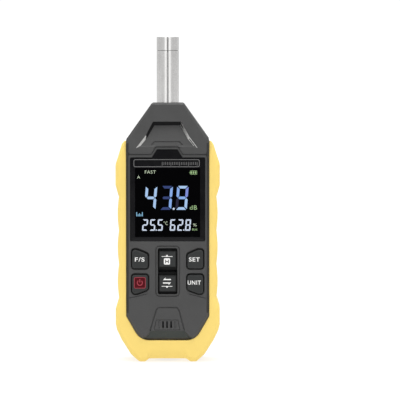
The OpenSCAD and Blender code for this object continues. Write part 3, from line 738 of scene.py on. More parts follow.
def front_cover():
    skin = Skin()
    inner = lambda points: leaning(points, INNER_Y, CAVITY_SLOPE, LEAN_Z - 1, 0.3)
    holes, inner_holes = [], []
    openings = [(outline_of(key), KEY_RIM) for key in
                (UPPER_KEY, LOWER_KEY, mirrored(UPPER_KEY), mirrored(LOWER_KEY))]
    openings.append((outline_of(CENTRE_OPENING), LIP))
    openings += [(outline_of(vent_slot(i)), SLOT_RIM) for i in (-1, 0, 1)]
    for loops, profile in openings:
        outer_edge, inner_edge = opening(skin, loops, profile, face, inner)
        holes.append(outer_edge)
        inner_holes.append(inner_edge)
    # The lens sits in a pocket with a window in its floor
    pocket = [on(rounded(LENS, 0.34), face), on(rounded(LENS, 0.22), face, 0.12),
              on(rounded(LENS, 0.2), level(POCKET_Y))]
    skin.tube(pocket)
    skin.patch(rounded(LENS, 0.2), [rounded(WINDOW)], level(POCKET_Y), pitch=None)
    skin.tube([on(rounded(WINDOW), level(POCKET_Y)), on(rounded(WINDOW), inner)])
    holes.append(rounded(LENS, 0.34))
    inner_holes.append(rounded(WINDOW))
    # The recess in the head, with its flanks
    rim = rounded(RECESS_RIM, pitch=0.5)
    floor = rounded(RECESS_FLOOR, like=RECESS_RIM, pitch=0.5)
    edge, base = on(rim, face), on(floor, recess)
    shares = (0, 0.05, 0.2, 0.4, 0.6, 0.75, 0.9, 1)
    rings = [skin.ring([Vector(a).lerp(Vector(b), share) for a, b in zip(edge, base)]) for share in shares]
    for i, share in enumerate(shares[:-1]):
        skin.bridge(rings[i], rings[i + 1], flank_look(share) if i else 0)
    skin.patch(floor, [], recess, lines=trench_rows(STEP_LINE, 0.6), pitch=1.5)
    holes.append(rim)
    lines = [row for line, width, depth in GROOVES
             for row in trench_rows(line, width, closed=line[0] == line[-1])]
    lines += [spaced([(side * (x + 3.6), FOOT_Z - 4), (side * x, FOOT_Z)], 0.8) for side in (-1, 1)
              for x in (8.7, 9.6)]
    lines.append(spaced([(-9.6, FOOT_Z), (9.6, FOOT_Z)], 1.2))
    lines += [spaced([(-21, z), (21, z)], 1.6) for z in (LEAN_Z - 1.2, LEAN_Z, LEAN_Z + 1.2)]
    shell(skin, face, inner, 1, holes, inner_holes, lines)
    piece = skin.build("front_cover_moulded", [COVER, FLANK_PAINTED_HIGHLIGHT, COVER_PAINTED_SHADE, COVER_EDGE_PAINTED_SHADE, COVER_FOOT_PAINTED_SHADE])
    # Faces on the falling facet at the foot take the darker foot material: painted shade.
    for polygon in piece.data.polygons:
        x, y, z = polygon.center / MM
        below = FOOT_Z - z
        outside = y < INNER_Y - 0.5 and polygon.normal.y < -0.5
        if outside and below > 0.1 and abs(x) < 9.3 + 0.9 * below:
            polygon.material_index = 4
    carve(piece, barrel_cutter(), port_cutter(PORT_HALF_W + 0.15, PORT_HALF_D + 0.15, PORT_Y, BASE_Z + 3))
    return keep(piece, "housing", "cover_plastic", "front_cover")


PORT_HALF_W = (PORT_HIGH.x - PORT_LOW.x) / 2
PORT_HALF_D = (PORT_HIGH.y - PORT_LOW.y) / 2
PORT_Y = (PORT_HIGH.y + PORT_LOW.y) / 2
SHANK_R = 5.75
FLANGE_R = 8.0
FLANGE_Z = (139.0, 141.5)


def turned(name, profile, sides=64):
    """A closed turned solid for cutting. The profile runs from axis to axis."""
    skin = Skin()
    turns = [2 * math.pi * k / sides for k in range(sides)]
    rings = [[(r * math.cos(a), r * math.sin(a), z) for a in turns] for r, z in profile]
    skin.close(*skin.tube(rings))
    return skin.build(name, [COVER])


def barrel_cutter():
    return turned("barrel_cutter", [
        (SHANK_R + 0.08, BARREL_LOW.z - 3), (SHANK_R + 0.08, FLANGE_Z[0] - 0.06),
        (FLANGE_R + 0.1, FLANGE_Z[0] - 0.06), (FLANGE_R + 0.1, FLANGE_Z[1] + 0.06),
        (SHANK_R + 0.08, FLANGE_Z[1] + 0.06), (SHANK_R + 0.08, HEAD_Z - 3.9),
        (SHANK_R + 1.1, HEAD_Z - 3.9), (SHANK_R + 1.1, HEAD_Z - 2.5), (SHANK_R + 0.08, HEAD_Z - 2.5),
        (SHANK_R + 0.08, HEAD_Z - 0.4), (SHANK_R + 0.4, HEAD_Z + 1)])


def port_cutter(half_w, half_d, y, top_z, flare=0.0):
    """A round-ended cutter up from the ground, wider at its mouth by flare."""
    skin = Skin()
    flat = box_corners(-half_w, half_w, -half_d, half_d, half_d)
    heights = [(0, -3.0), (0, top_z)]
    if flare:
        heights = [(flare, -3.0), (flare, 1.9), (0, 1.9 + flare), (0, top_z)]
    rings = [[(a, y + b, z) for a, b in rounded(flat, grow, steps=10)] for grow, z in heights]
    skin.close(*skin.tube(rings))
    return skin.build("port_cutter", [COVER])


SCREWS = [(13, 129.5), (-13, 129.5), (14.5, 22.6), (-14.5, 22.6)]
TRIPOD_Z = (INSERT_LOW.z + INSERT_HIGH.z) / 2
LABEL = box_corners(LABEL_LOW.x, LABEL_HIGH.x, LABEL_LOW.z, LABEL_HIGH.z, 1.4)


def rear_cover():
    skin = Skin()
    inner = lambda points: 2 * REAR_INNER_Y - leaning(points, REAR_INNER_Y, BACK_SLOPE, LEAN_Z, 0.3)
    holes, inner_holes = [], []
    for x, z in SCREWS:
        loops = lambda grow=0.0, x=x, z=z: circle(x, z, 3.1 + grow)
        rings = [on(loops(grow), back, -depth) for grow, depth in HOLE_RIM]
        rings.append(on(loops(0), level(6)))
        rings.append(on(circle(x, z, 1.7), level(6)))
        rings.append(on(circle(x, z, 1.7), level(SPLIT_Y + 0.5)))
        rings.append(on(circle(x, z, 4.1), level(SPLIT_Y + 0.5)))
        rings.append(on(circle(x, z, 4.1), inner))
        skin.tube(rings)
        holes.append(loops(HOLE_RIM[0][0]))
        inner_holes.append(circle(x, z, 4.1))
    seat = [on(circle(0, TRIPOD_Z, 4.9 + grow), back, -depth) for grow, depth in HOLE_RIM[:2]]
    seat += [on(circle(0, TRIPOD_Z, 4.9), level(INSERT_HIGH.y)),
             on(circle(0, TRIPOD_Z, 4.5), level(INSERT_HIGH.y)),
             on(circle(0, TRIPOD_Z, 4.5), level(INSERT_LOW.y))]
    numbers = skin.tube(seat)
    skin.faces.append(tuple(numbers[-1]))
    skin.looks.append(0)
    holes.append(circle(0, TRIPOD_Z, 4.9 + HOLE_RIM[0][0]))
    rim = circle(0, TRIPOD_Z, 6)
    boss = skin.tube([on(rim, inner), on(rim, level(INSERT_LOW.y - 0.6))])
    skin.faces.append(tuple(boss[-1]))
    skin.looks.append(0)
    inner_holes.append(circle(0, TRIPOD_Z, 6))
    label_floor = REAR_Y - 0.3
    skin.tube([on(rounded(LABEL, 0.35), back), on(rounded(LABEL, 0.22), back, -0.1),
               on(rounded(LABEL, 0.2), level(label_floor))])
    skin.patch(rounded(LABEL, 0.2), [], level(label_floor), pitch=4)
    holes.append(rounded(LABEL, 0.35))
    lines = [row for line in BACK_GRIP for row in trench_rows(line, 1.3, 0.35)]
    lines += trench_rows(BACK_LINE, 0.75)
    lines += [spaced([(-21, z), (21, z)], 1.6) for z in (LEAN_Z - 1.2, LEAN_Z, LEAN_Z + 1.2)]
    shell(skin, back, inner, -1, holes, inner_holes, lines)
    piece = skin.build("rear_cover_moulded", [REAR_COVER, FLANK_PAINTED_HIGHLIGHT, COVER_PAINTED_SHADE, COVER_EDGE_PAINTED_SHADE])
    carve(piece, barrel_cutter())
    return keep(piece, "housing", "cover_plastic", "rear_cover")


# ---------------------------------------------------------------- bumper

GRIP_Z0, GRIP_PITCH, GRIP_LOBES, GRIP_STEPS = 36.6, 19.2, 3, 8
GRIP_Z1 = GRIP_Z0 + GRIP_LOBES * GRIP_PITCH
BUMPER_X = BUMPER_HIGH.x
GRIP_X = BUMPER_X - 1.9
GRIP_LOBE = 0.7
BUMPER_ROUND = 2.6
BUMPER_TIP_Z = BUMPER_HIGH.z


def grip_points():
    points = []
    for i in range(GRIP_LOBES * GRIP_STEPS + 1):
        z = GRIP_Z0 + i * GRIP_PITCH / GRIP_STEPS
        notch = 0.5 if i % GRIP_STEPS == 0 else 0
        points.append((GRIP_X + GRIP_LOBE * abs(math.sin(math.pi * (z - GRIP_Z0) / GRIP_PITCH)), z, notch))
    return points


def bumper_outline():
    """The bumper's U shape, anticlockwise from the sole: x, z, corner radius, share of the edge rounding."""
    x = BUMPER_X
    right = [(10.7, 1.6, 0.8), (12.9, 0.0, 1.6), (16.3, 0.0, 2.4), (21.0, 4.2, 3.0), (26.2, 12.4, 6.0),
             (x - 0.8, 18.0, 4.0), (x, 21.5, 2.0), (x, 30.5, 1.4), (x - 0.9, 33.4, 1.2)]
    right += grip_points()
    right += [(x - 0.9, GRIP_Z1 + 3.4, 1.2), (x, GRIP_Z1 + 6.6, 1.4), (x, 112.6, 1.6)]
    right = [(*p, 1.0) for p in right]
    right += [(27.6, 119.4, 6.0, 0.8), (26.1, 124.3, 0.8, 0.45), (25.0, 125.9, 0.5, 0.25),
              (24.3, BUMPER_TIP_Z, 0.3, 0.12)]
    case = [(CASE_X + 0.04, BUMPER_TIP_Z, 0.1, 0.1), (CASE_X + 0.04, HIP_Z, 1.5, 0.12),
            (15.72, BASE_Z - 0.04, 9.0, 0.12)]
    half = right + case
    return half + mirrored(case) + mirrored(right)


SOLE_BEVEL_X, SOLE_BEVEL_Z = 9.9, 7.0


def bumper_front(points):
    """The bumper's front, which falls back towards the tips and below the bevel line between the feet."""
    x, z = np.abs(points[:, 0]), points[:, 1]
    fall = np.clip((z - 108) / 18, 0, 1)
    bevel = np.clip(SOLE_BEVEL_Z - z, 0, 5) * np.clip((SOLE_BEVEL_X + 1.2 - x) / 1.2, 0, 1)
    return BUMPER_LOW.y + 2.4 * fall * fall + 0.3 * bevel


# Moved inward, and the depth: a groove along the middle of the bumper's sides
SIDE_GROOVE = [(0, 1.6), (-0.12, 1.7), (-0.45, 2.1), (-0.45, 2.7), (-0.12, 3.1), (0, 3.2)]


def bumper_ring(corners, grow, y):
    return [(x, y, z) for x, z, share in weighted(corners, grow)]


def bumper():
    skin = Skin()
    corners = bumper_outline()
    turns = [math.pi / 2 * k / 6 for k in range(7)]
    profile = [(-BUMPER_ROUND * (1 - math.sin(a)), BUMPER_ROUND * (1 - math.cos(a))) for a in turns]
    rings = []
    for toward, surface in ((1, bumper_front), (-1, level(BUMPER_HIGH.y))):
        side = []
        for grow, depth in profile:
            loop = weighted(corners, grow)
            flat = np.array([p[:2] for p in loop])
            ys = surface(flat) + toward * depth * np.array([p[2] for p in loop])
            side.append([(p[0], y, p[1]) for p, y in zip(loop, ys)])
        lines = [spaced([(-SOLE_BEVEL_X, SOLE_BEVEL_Z), (SOLE_BEVEL_X, SOLE_BEVEL_Z)], 1.2)]
        lines += [spaced([(hand * (SOLE_BEVEL_X + k), 2), (hand * (SOLE_BEVEL_X + k), SOLE_BEVEL_Z)], 1.2)
                  for hand in (-1, 1) for k in (0, 1.2)]
        skin.patch(rounded(corners, profile[0][0]), [], surface, pitch=2.0,
                   lines=lines if toward == 1 else ())
        if toward == 1:
            rings = side + [bumper_ring(corners, grow, y) for grow, y in SIDE_GROOVE]
        else:
            rings += side[::-1]
    skin.tube(rings)
    # The tips are lower towards the back
    skin.points = [(x, y, z - 0.06 * (y - BUMPER_LOW.y) * min(max(z - 112, 0) / 14, 1))
                   for x, y, z in skin.points]
    piece = skin.build("bumper_moulded", [BUMPER], sharp=30)
    carve(piece, port_cutter(6.5, 3.7, PORT_Y + 0.4, BASE_Z + 2, flare=0.7))
    return keep(piece, "housing", "bumper_rubber", "bumper")


# ---------------------------------------------------------------- lens and readout

VIEW = box_corners(-18.5, 18.5, 71.5, 110.8, 0.3)
LENS_Y = LENS_LOW.y
INK_Y = LENS_Y - 0.02


def slab(skin, outer, holes, front_y, back_y, look=0):
    """A flat plate with holes."""
    for y in (front_y, back_y):
        skin.patch(outer, holes, level(y), look, pitch=None)
    for loop in [outer] + list(holes):
        skin.tube([on(loop, level(front_y)), on(loop, level(back_y))], look)


def lens():
    skin = Skin()
    edge = [(-0.22, 0), (-0.12, 0.03), (-0.03, 0.1), (0, 0.22)]
    skin.tube([on(rounded(LENS, grow), level(LENS_Y), depth) for grow, depth in edge]
              + [on(rounded(LENS), level(LENS_HIGH.y))])
    skin.patch(rounded(LENS, edge[0][0]), [rounded(VIEW)], level(LENS_Y), pitch=6)
    skin.patch(rounded(VIEW), [], level(LENS_Y), look=1, pitch=6)
    skin.patch(rounded(LENS), [], level(LENS_HIGH.y), pitch=None)
    piece = skin.build("lens_window", [LENS_BORDER, LENS_VIEW])
    return keep(piece, "housing", "lens_plastic", "display_lens")


def band(skin, corners, width, front_y, back_y, look=0):
    """A thin line round an outline."""
    slab(skin, rounded(corners), [rounded(corners, -width)], front_y, back_y, look)


def banner():
    """The outlined strip above the readout, with a plain scale in it."""
    skin = Skin()
    band(skin, box_corners(-19.3, 18.2, 111.3, 115.7, 1.0), 0.36, INK_Y, LENS_Y + 0.05)
    ticks = 21
    for i in range(ticks):
        x = -3.2 + i * 0.99
        low = 112.5 if i % 5 else 112.1
        slab(skin, box_outline(x, x + 0.3, low, 114.2, 0.05), [], INK_Y, LENS_Y + 0.05)
    return keep(skin.build("banner_scale", [BANNER_INK]), "housing", "lens_plastic")


SEGMENTS = {"0": "abcdef", "1": "bc", "2": "abged", "3": "abgcd", "4": "fgbc", "5": "afgcd", "6": "afgedc",
            "7": "abc", "8": "abcdefg", "9": "abcdfg"}


def segment(letter, x, z, w, h, thick, gap, slant):
    """One bar of a seven-segment digit whose lower left corner is x, z."""
    t, g = thick, gap
    bevel = t / 2
    across = [(g + bevel * 0.3, 0), (w - g - bevel * 0.3, 0), (w - t - g, t), (t + g, t)]
    upright = [(0, g + bevel * 0.3), (t, t + g), (t, h / 2 - g - bevel), (t / 2, h / 2 - g * 0.6),
               (0, h / 2 - g - bevel)]
    middle = [(g + bevel, h / 2), (t + g, h / 2 - t / 2), (w - t - g, h / 2 - t / 2), (w - g - bevel, h / 2),
              (w - t - g, h / 2 + t / 2), (t + g, h / 2 + t / 2)]
    shapes = {
        "d": across, "a": [(a, h - b) for a, b in reversed(across)],
        "e": upright, "c": [(w - a, b) for a, b in reversed(upright)],
        "f": [(a, h - b) for a, b in reversed(upright)], "b": [(w - a, h - b) for a, b in upright],
        "g": middle}
    return [(x + a + slant * b, z + b, 0.06 * t) for a, b in ccw(shapes[letter])]


def ccw(points):
    area = sum(a[0] * b[1] - b[0] * a[1] for a, b in zip(points, points[1:] + points[:1]))
    return points if area > 0 else points[::-1]


def readout():
    """The lit parts of the display, one piece for each colour."""
    skins = {name: Skin() for name in READOUT}
    shine = (INK_Y, LENS_Y + 0.05)

    def digit(x, z, w, h, thick, letters, colour, gap=0.16, slant=0.08):
        for letter in letters:
            slab(skins[colour], rounded(segment(letter, x, z, w, h, thick, gap, slant), steps=2), [], *shine)

    big = dict(z=87.0, w=6.5, h=13.6, thick=1.5, gap=0.24)
    digit(-13.4, letters=SEGMENTS["4"], colour="sky", **big)
    digit(-4.5, letters="bc", colour="blue", **big)
    digit(-4.5, letters="agd", colour="dim", **big)
    digit(4.4, letters="adc", colour="sky", **big)
    digit(4.4, letters="fg", colour="blue", **big)
    digit(4.4, letters="b", colour="violet", **big)
    digit(4.4, letters="e", colour="ghost", **big)
    slab(skins["white"], circle(3.45, 87.6, 0.6, 20), [], *shine)
    small = dict(z=75.1, w=3.1, h=6.5, thick=0.78, gap=0.05, colour="white")
    for x, figure in ((-14.6, "2"), (-10.3, "5"), (-6.0, "5"), (1.1, "6"), (5.4, "2"), (9.8, "8")):
        digit(x, letters=SEGMENTS[figure], **small)
    for x in (-6.5, 9.2):
        slab(skins["white"], circle(x, 75.5, 0.42, 16), [], *shine)
    # Battery: an outline, its pole and three bars
    green = skins["green"]
    band(green, box_corners(12.9, 16.7, 107.1, 109.3, 0.3), 0.2, *shine)
    slab(green, box_outline(12.6, 12.9, 107.7, 108.7), [], *shine)
    for x in (13.35, 14.45, 15.55):
        slab(green, box_outline(x, x + 0.65, 107.55, 108.85), [], *shine)
    # Level bars at the left
    for i, high in enumerate((2.6, 1.3, 1.9, 1.3, 2.6)):
        x = -17.8 + i * 0.8
        slab(skins["cyan"], box_outline(x, x + 0.5, 83.3, 83.2 + 0.95 * high), [], *shine)
    for colour, text, left, right, low, high in (
            ("pale", "FAST", -12.9, -6.7, 107.6, 109.4), ("pale", "A", -17.3, -15.6, 104.7, 106.5),
            ("green", "dB", 12.6, 16.7, 87.1, 89.5), ("pale", "°C", -2.2, 0.0, 78.4, 80.4),
            ("pale", "%", 14.4, 16.5, 77.6, 79.2), ("green", "RH", 14.0, 16.7, 75.1, 76.4)):
        lettering(skins[colour], text, left, right, low, high, *shine)
    for name, skin in skins.items():
        piece = skin.build("readout_" + name, [READOUT[name]])
        keep(piece, "housing", "panel_glass")


def box_outline(x0, x1, z0, z1, radius=0.08):
    return rounded(box_corners(x0, x1, z0, z1, radius), steps=2)


def lettering(skin, text, left, right, low, high, front_y, back_y, look=0, weight=0.0):
    """Raised letters that fill a box on the front."""
    curve = bpy.data.curves.new("letters", "FONT")
    curve.body = text
    curve.extrude = 0.1
    curve.space_character = 1.12
    curve.offset = weight
    curve.resolution_u = 4
    holder = bpy.data.objects.new("letters", curve)
    bpy.context.scene.collection.objects.link(holder)
    bpy.context.view_layer.update()
    mesh = bpy.data.meshes.new_from_object(holder.evaluated_get(bpy.context.evaluated_depsgraph_get()))
    spots = np.array([tuple(v.co) for v in mesh.vertices])
    (x0, z0, _), (x1, z1, _) = spots.min(0), spots.max(0)
    first = len(skin.points)
    for x, z, depth in spots:
        skin.points.append((left + (right - left) * (x - x0) / (x1 - x0), front_y if depth > 0 else back_y,
                            low + (high - low) * (z - z0) / (z1 - z0)))
    for polygon in mesh.polygons:
        skin.faces.append(tuple(first + v for v in polygon.vertices))
        skin.looks.append(look)
    bpy.data.objects.remove(holder)
    bpy.data.curves.remove(curve)
    bpy.data.meshes.remove(mesh)


# ---------------------------------------------------------------- keys

KEY_FACE_Y = node_box("key_hold")[0].y + 0.03
LEGEND_Y = KEY_FACE_Y - 0.03
FLANGE_Y0, FLANGE_Y1 = INNER_Y + 0.2, INNER_Y + 1.0
KEY_EDGE = [(-0.7, 0), (-0.52, 0.02), (-0.33, 0.11), (-0.17, 0.25), (-0.05, 0.44), (0, 0.7)]


def key(name, node, corners, flange, stem, side=KEY_SIDE_PAINTED_SHADE):
    """A key cap: its rounded face, its flange behind the cover and its stem."""
    skin = Skin()
    skin.patch(rounded(corners, KEY_EDGE[0][0]), [], level(KEY_FACE_Y), pitch=2)
    rings = [on(rounded(corners, grow), level(KEY_FACE_Y + depth)) for grow, depth in KEY_EDGE]
    rings.append(on(rounded(corners), level(FLANGE_Y0)))
    # The cap's rounded edge and sides take the side material: painted shade on the centre caps, painted
    # light on the outer ones.
    skin.tube(rings, look=1)
    skin.patch(flange, [rounded(corners)], level(FLANGE_Y0), look=1, pitch=None)
    skin.tube([on(flange, level(FLANGE_Y0)), on(flange, level(FLANGE_Y1))])
    post = circle(*stem, 2.2, 28)
    skin.patch(flange, [post], level(FLANGE_Y1), pitch=None)
    stem_y = node_box(node)[1].y
    skin.tube([on(post, level(FLANGE_Y1)), on(post, level(stem_y - 0.2)),
               on(circle(*stem, 2.0, 28), level(stem_y))])
    skin.patch(circle(*stem, 2.0, 28), [], level(stem_y), pitch=None)
    return keep(skin.build(name, [KEY, side], sharp=45), node[4:], "key_plastic", node)


def legend(body, materials, draw):
    """The print on a key, which rides with it."""
    skin = Skin()
    draw(skin)
    return keep(skin.build(body + "_legend", materials), body, "key_plastic")


INK_BACK_Y = KEY_FACE_Y + 0.05


def words(text, left, right, low, high):
    return lambda skin: lettering(skin, text, left, right, low, high, LEGEND_Y, INK_BACK_Y, weight=0.015)


def arrow_bar(skin, z, toward):
    """A bar with a small triangle on its upper (1) or lower (-1) side."""
    x = MARK_X
    slab(skin, box_outline(x - 3.1, x + 3.1, z - 0.15, z + 0.15, 0.1), [], LEGEND_Y, INK_BACK_Y)
    triangle = [(x - 0.75, z + toward * 0.15), (x + 0.75, z + toward * 0.15), (x, z + toward * 1.05)]
    slab(skin, ccw(triangle), [], LEGEND_Y, INK_BACK_Y)


def hold_mark(skin):
    arrow_bar(skin, 60.5, 1)
    x = MARK_X
    low, high = 55.9, 59.5
    plate = box_corners(x - 1.75, x + 1.75, low, high, 0.6)
    bars = [(-1.0, 0.7), (-1.0, 2.8), (-0.55, 2.8), (-0.55, 1.98), (0.55, 1.98), (0.55, 2.8), (1.0, 2.8),
            (1.0, 0.7), (0.55, 0.7), (0.55, 1.52), (-0.55, 1.52), (-0.55, 0.7)]
    slab(skin, rounded(plate), [[(x + a, low + z) for a, z in bars[::-1]]], LEGEND_Y, INK_BACK_Y)


def swap_mark(skin):
    """Two opposite half arrows over a bar."""
    for z, side in ((47.35, 1), (45.4, -1)):
        arrow = [(-2.3, -0.32), (2.3, -0.32), (2.3, 0.32), (-0.9, 0.32), (-0.9, 1.15)]
        arrow = [(MARK_X + side * x, z + side * h, 0.06) for x, h in arrow]
        slab(skin, rounded(arrow, steps=2), [], LEGEND_Y, INK_BACK_Y)
    arrow_bar(skin, 43.5, -1)


def power_mark(skin):
    """A rounded field with an outline, and the standby symbol."""
    x, z = -15.8, 45.5
    half_w, half_h = 3.3, 3.2
    field = box_corners(x - half_w, x + half_w, z - half_h, z + half_h, 0.9)
    slab(skin, rounded(field, -0.3), [], LEGEND_Y + 0.015, INK_BACK_Y, 0)
    slab(skin, rounded(field), [rounded(field, -0.3)], LEGEND_Y, INK_BACK_Y, 1)
    arc = [math.radians(a) for a in range(125, 416, 15)]
    ring = [(x + 1.7 * math.cos(a), z + 1.7 * math.sin(a)) for a in arc]
    ring += [(x + 1.2 * math.cos(a), z + 1.2 * math.sin(a)) for a in reversed(arc)]
    slab(skin, ring, [], LEGEND_Y, INK_BACK_Y, 1)
    slab(skin, box_outline(x - 0.25, x + 0.25, z + 0.2, z + 2.1), [], LEGEND_Y, INK_BACK_Y, 1)


def keys():
    stem_x = (OUTER_KEY_X0 + OUTER_KEY_X1) / 2
    hold_flange = rounded(box_corners(-6.3, 6.3, 52.8, 65.9, 0.3))
    max_min_flange = rounded(box_corners(-6.3, 6.3, 38.2, 51.3, 0.3))
    for name, cap, opened, stem in (
            ("fast_slow", mirrored(UPPER_CAP), mirrored(UPPER_KEY), (-stem_x, 58.5)),
            ("power", mirrored(LOWER_CAP), mirrored(LOWER_KEY), (-stem_x, 45.5)),
            ("set", UPPER_CAP, UPPER_KEY, (stem_x, 58.5)),
            ("unit", LOWER_CAP, LOWER_KEY, (stem_x, 45.5))):
        # The outer keys take the lighter side material: painted light in their gaps.
        key(name + "_cap", "key_" + name, cap, rounded(opened, 0.7), stem, KEY_SIDE_PAINTED_LIGHT)
    key("hold_cap", "key_hold", HOLD_KEY, hold_flange, (0, 58.8))
    key("max_min_cap", "key_max_min", MAX_MIN_KEY, max_min_flange, (0, 45.2))
    legend("fast_slow", [INK], words("F/S", -18.6, -13.1, 57.6, 60.0))
    legend("set", [INK], words("SET", 12.1, 18.3, 57.6, 60.0))
    legend("unit", [INK], words("UNIT", 11.4, 18.9, 44.4, 46.8))
    legend("hold", [INK], hold_mark)
    legend("max_min", [INK], swap_mark)
    legend("power", [INK_RED, INK_RED_LINE], power_mark)


# ---------------------------------------------------------------- microphone

def microphone():
    r = CAP_HIGH.x
    bottom, seam = BARREL_LOW.z, CAP_LOW.z
    spigot_z = BARREL_HIGH.z
    barrel = [(SHANK_R, bottom), (SHANK_R, FLANGE_Z[0]), (FLANGE_R - 0.2, FLANGE_Z[0]),
              (FLANGE_R, FLANGE_Z[0] + 0.2), (FLANGE_R, FLANGE_Z[1] - 0.2), (FLANGE_R - 0.2, FLANGE_Z[1]),
              (SHANK_R, FLANGE_Z[1]), (SHANK_R, HEAD_Z), (r - 0.2, HEAD_Z), (r, HEAD_Z + 0.2),
              (r, seam - 0.25), (r - 0.2, seam - 0.22), (r - 0.45, seam - 0.08), (r - 0.5, seam - 0.08),
              (r - 0.5, spigot_z - 0.2), (r - 0.7, spigot_z), (r - 1, spigot_z), (r - 1, HEAD_Z + 1),
              (SHANK_R - 0.95, HEAD_Z + 1), (SHANK_R - 0.95, bottom)]
    # The faces of the seam groove take the dark material: painted shade in the seam.
    piece = lathe("barrel_turned", barrel, [STEEL, COVER_PAINTED_SHADE], 128, lambda k: int(k in (10, 11, 12)))
    keep(piece, "housing", "barrel_steel", "mic_barrel")
    top = CAP_HIGH.z
    cap = [(r - 0.48, seam), (r - 0.4, seam), (r - 0.05, seam), (r, seam + 0.05), (r, top - 0.12),
           (r - 0.02, top - 0.05), (r - 0.05, top - 0.02), (r - 0.12, top), (4.7, top), (4.5, top - 0.08),
           (4.4, top - 0.3), (4.4, top - 0.8), (r - 0.95, top - 0.8), (r - 0.95, spigot_z + 0.1),
           (r - 0.48, spigot_z + 0.1)]
    keep(lathe("cap_turned", cap, [STEEL_CAP], sides=128), "housing", "barrel_steel", "mic_cap")


# ---------------------------------------------------------------- back details

def tripod_socket():
    """A brass insert with a helical thread in its bore and a plain outside."""
    skin = Skin()
    sides, pitch = 48, 1.27
    y0, y1 = INSERT_LOW.y, INSERT_HIGH.y
    root, crest = 3.17, 2.62
    outer = 4.48
    levels = int((y1 - y0) / (pitch / 8))
    rings = []
    for k in range(levels + 1):
        y = y1 - 0.35 - (y1 - y0 - 0.35) * k / levels
        ring = []
        for i in range(sides):
            wave = ((y / pitch + i / sides) % 1.0)
            ring.append((root - (root - crest) * (1 - abs(2 * wave - 1)), y, i))
        rings.append(ring)
    turn = 2 * math.pi / sides
    spun = lambda ring: [(r * math.cos(turn * i), y, TRIPOD_Z + r * math.sin(turn * i)) for r, y, i in ring]
    plain = lambda r, y: [(r, y, i) for i in range(sides)]
    order = [plain(outer, y0), plain(outer, y1 - 0.25), plain(outer - 0.2, y1), plain(root + 0.25, y1)]
    numbers = skin.tube([spun(ring) for ring in order + rings])
    skin.bridge(numbers[-1], numbers[0])
    return keep(skin.build("tripod_thread", [BRASS], sharp=50), "housing", "insert_brass", "tripod_insert")


def label():
    skin = Skin()
    back_y = LABEL_HIGH.y
    skin.tube([on(rounded(LABEL), level(LABEL_LOW.y)), on(rounded(LABEL), level(back_y - 0.05)),
               on(rounded(LABEL, -0.05), level(back_y))])
    skin.patch(rounded(LABEL, -0.05), [], level(back_y), pitch=4)
    skin.patch(rounded(LABEL), [], level(LABEL_LOW.y), pitch=None)
    keep(skin.build("label_plate", [LABEL_FILM]), "housing", "label_film", "rear_label")
    lines = Skin()
    inset = [(x * 0.92, 73 + (z - 73) * 0.92, 1.0) for x, z, r in LABEL]
    slab(lines, rounded(inset), [rounded(inset, -0.25)], back_y + 0.02, back_y - 0.05)
    for z in (80, 73, 66):
        slab(lines, box_outline(-11.5, 11.5, z, z + 0.25), [], back_y + 0.02, back_y - 0.05)
    keep(lines.build("label_lines", [LABEL_INK]), "housing", "label_film")


# ---------------------------------------------------------------- kept CAD nodes

def finish_nodes():
    looks = {
        "lens_gasket": foam("gasket_foam", srgb("202022")),
        "display_panel": glossy("panel_glass_dark", srgb("0b0c10"), 0.06),
        "light_guide": glossy("guide_acrylic", srgb("e8ecf0"), 0.2),
        "display_frame": moulded("frame_moulded", srgb("d9dadb"), 0.5),
        "display_flex": glossy("flex_film", srgb("b8762f"), 0.35),
        "keypad_mat": moulded("silicone_mat", srgb("2c2d2f"), 0.7),
        "key_domes": cast_metal("dome_metal", srgb("c9cbcd"), 0.25),
        "main_board": laminate("board_laminate", srgb("1f6b3a"), srgb("2f8a50")),
        "board_components": moulded("component_plastic", srgb("232426"), 0.4, grain=0.1, height=0.004),
        "board_screws": cast_metal("screw_zinc", srgb("a8a9ab"), 0.3),
        "case_screws": cast_metal("screw_black", srgb("55565a"), 0.35),
        "mic_grid": GRID,
        "mic_capsule": cast_metal("capsule_metal", srgb("a9abad"), 0.3),
        "mic_sleeve": moulded("sleeve_rubber", srgb("1d1d1f"), 0.7),
        "barrel_oring": moulded("oring_rubber", srgb("161617"), 0.6),
        "mic_lead": moulded("lead_sheath", srgb("2b2b2d"), 0.5, grain=0.1, height=0.004),
        "battery_cell": glossy("battery_foil", srgb("b9bec4"), 0.3, 0.02),
        "battery_pad": foam("pad_foam", srgb("e8e4d6")),
        "battery_lead": moulded("battery_wire", srgb("b3262a"), 0.45, grain=0.1, height=0.004),
        "usb_port": cast_metal("port_shell", srgb("b9bbbe"), 0.28),
        # The sensor board is made near black so the vent slots show dark: painted shade.
        "climate_sensor": laminate("sensor_board", srgb("101820"), srgb("203040")),
        "sensor_gasket": foam("sensor_foam", srgb("37383a"))}
    for name, material in looks.items():
        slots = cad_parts[name].data.materials
        for i in range(max(len(slots), 1)):
            if i < len(slots):
                slots[i] = material
            else:
                slots.append(material)


# ---------------------------------------------------------------- studio

FLOOR_Y = -850


def floor():
    """A grey floor that glows, so that it shows as white."""
    skin = Skin()
    half = 4000
    corners = ((-half, FLOOR_Y), (half, FLOOR_Y), (half, half), (-half, half))
    numbers = skin.ring([(x, y, 0) for x, y in corners])
    skin.faces.append(tuple(numbers))
    skin.looks.append(0)
    paper = Look("studio_floor", 0.8, specular=0.2)
    paper.colour(paper.span(paper.noise(400, 2), 0, 1), (0.25, 0.25, 0.25), (0.28, 0.28, 0.28))
    paper.set("Emission Color", (1, 1, 1, 1))
    paper.set("Emission Strength", 0.72)
    piece = skin.build("studio_floor", [paper.material])


